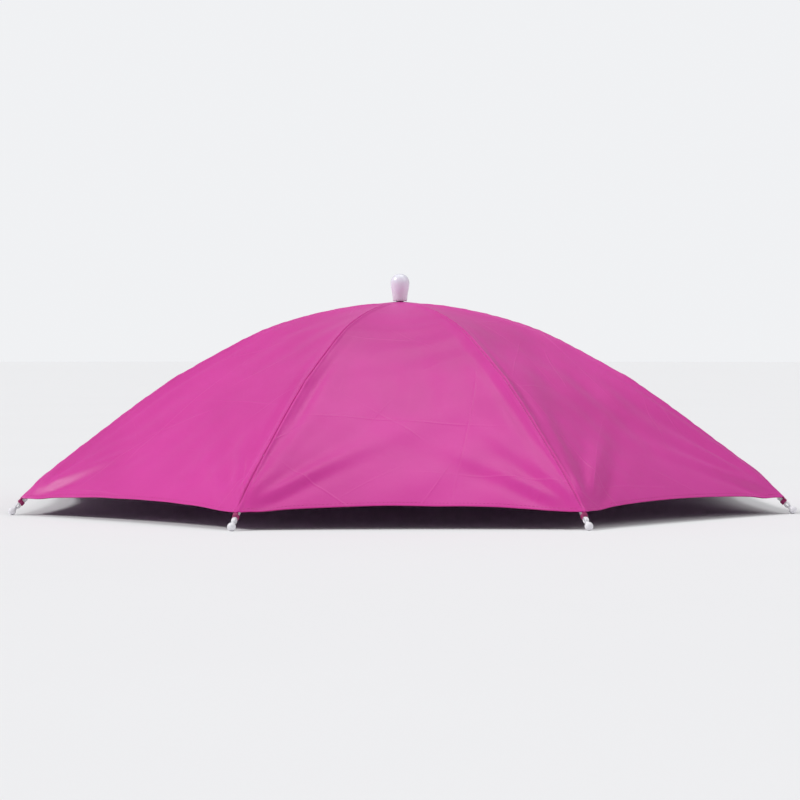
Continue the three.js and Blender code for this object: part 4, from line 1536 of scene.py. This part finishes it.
def camera():
    """The camera at its aim plus the distance times the direction back, turned to look along that line."""
    data = bpy.data.cameras.new("camera")
    data.lens = LENS_MM
    data.sensor_width = SENSOR_MM
    thing = bpy.data.objects.new("camera", data)
    level = math.cos(CAMERA_ELEVATION)
    back = np.array([level * math.sin(CAMERA_AZIMUTH), -level * math.cos(CAMERA_AZIMUTH),
                     math.sin(CAMERA_ELEVATION)])
    thing.location = np.array(AIM) + back * CAMERA_DISTANCE
    thing.rotation_euler = (math.pi / 2 - CAMERA_ELEVATION, 0, CAMERA_AZIMUTH)
    bpy.context.scene.collection.objects.link(thing)
    bpy.context.scene.camera = thing


def sun(name, azimuth, elevation, strength, spread):
    """A distant light from one direction, as soft as its spread in degrees."""
    data = bpy.data.lights.new(name, "SUN")
    data.energy = strength
    data.angle = math.radians(spread)
    thing = bpy.data.objects.new(name, data)
    thing.rotation_euler = (math.radians(90 - elevation), 0, math.radians(azimuth))
    bpy.context.scene.collection.objects.link(thing)


def studio():
    """A plain pale floor, a white surround, and soft light from the left, the right and above."""
    mesh = bpy.data.meshes.new("floor")
    corners = [(-FLOOR_REACH, -FLOOR_REACH, 0), (FLOOR_REACH, -FLOOR_REACH, 0),
               (FLOOR_REACH, FLOOR_REACH, 0), (-FLOOR_REACH, FLOOR_REACH, 0)]
    mesh.from_pydata(corners, [], [(0, 1, 2, 3)])
    floor = bpy.data.objects.new("floor", mesh)
    bpy.context.scene.collection.objects.link(floor)
    f = Finish("floor", 0.8)
    f.colour(f.mixed(f.noise(f.place, 3.0), (0.82, 0.82, 0.83, 1), (0.84, 0.84, 0.85, 1)))
    mesh.materials.append(f.material)
    world = bpy.data.worlds.new("surround")
    world.use_nodes = True
    tools = Nodes(world.node_tree)
    glow = world.node_tree.nodes["Background"]
    glow.inputs["Color"].default_value = (0.97, 0.98, 1.0, 1)
    seen = tools.add("ShaderNodeLightPath").outputs["Is Camera Ray"]
    tools.give(glow.inputs["Strength"], tools.mapped(seen, 0.0, 1.0, SURROUND, SURROUND_SEEN))
    bpy.context.scene.world = world
    for light in SUNS:
        sun(*light)
    bpy.context.scene.view_settings.view_transform = "Standard"


# The whole hat

# The smallest side in metres that a sheet's flat size may have
SMALLEST_FLAT = 0.01


def build_canopy():
    """The cloth with its stitching and its corners, and the label under it."""
    cloth = canopy()
    trims = [piece("hem_stitching", hem_stitching(), [PINK_THREAD])]
    for index in range(RIBS):
        trims.append(piece(f"corner_binding_{index + 1}", corner_binding(index), [HEM]))
    label = piece("label_tape", care_label(), [LABEL_TAPE], ["care_label"])


def build_frame():
    """Ribs, joints and tip caps, rib by rib, then the hub and the ferrule."""
    channels = (("inner_channel", inner_rib, "rib_inner"), ("outer_channel", outer_rib, "rib_outer"))
    for index in range(RIBS):
        number = index + 1
        for name, shape, node in channels:
            channel = piece(f"{name}_{number}", shape(index), [LACQUER, STEEL],
                            [f"{node}_{number}"], sharp=40)
            bare_inside(channel)
        piece(f"folding_joint_{number}", rib_joint(index), [LACQUER],
              [f"rib_joint_{number}"], sharp=40)
        piece(f"tip_cap_{number}", tip_cap(index), [TIP_PLASTIC], [f"tip_{number}"], sharp=50)
    piece("notched_hub", hub(), [ARM_PLASTIC], ["hub"], sharp=40)
    piece("milky_ferrule", ferrule(), [FERRULE_PLASTIC], ["ferrule"], sharp=60)


def band_piece(name, node, span, steps, face_steps, shaping, finish, lift=0.0):
    """A stretch of the band as a piece, with its flat size in metres."""
    shape, length, sections = band_run(*span, steps, face_steps, shaping, lift)
    thing = piece(name, shape, [finish], [node])
    write_band_uv(thing, length, sections)
    return thing, (BAND_HEIGHT * MM, max(float(length[-1]) * MM, SMALLEST_FLAT))


def build_headband():
    """The elastic, the webbing and the gathered fold, end to end round the oval, then the four arms."""
    start, end = band_parameter(rib_angle(ARM_RIBS[0])), band_parameter(rib_angle(ARM_RIBS[1]))
    join = GAP / 2 / BAND_HALF_WIDTH
    stitching = piece("band_stitching", band_stitching(), [BLACK_THREAD])
    threads = piece("loose_threads", loose_threads(), [BLACK_THREAD])
    elastic, flat = band_piece(
        "elastic_front", "headband_elastic", (start + join, end - join), 420, 64, elastic_shape, ELASTIC)
    webbing, flat = band_piece(
        "webbing_back", "headband_webbing", (end + join, start + math.tau - join), 360, 30, webbing_shape,
        WEBBING)
    fold = end - (CLIP_WIDTH / 2 + GAP + FOLD_WIDTH) / BAND_HALF_LENGTH - 2 * join
    gathered, flat = band_piece(
        "gathered_fold", "elastic_fold", (fold, fold + FOLD_WIDTH / BAND_HALF_LENGTH), 60, 40, fold_shape,
        ELASTIC, lift=GAP + BAND_THICKNESS)
    for number, rib in enumerate(ARM_RIBS, 1):
        piece(f"arm_strip_{number}", arm(rib), [ARM_PLASTIC], [f"arm_{number}"], sharp=40)


camera()
build_canopy()
build_frame()
build_headband()
studio()
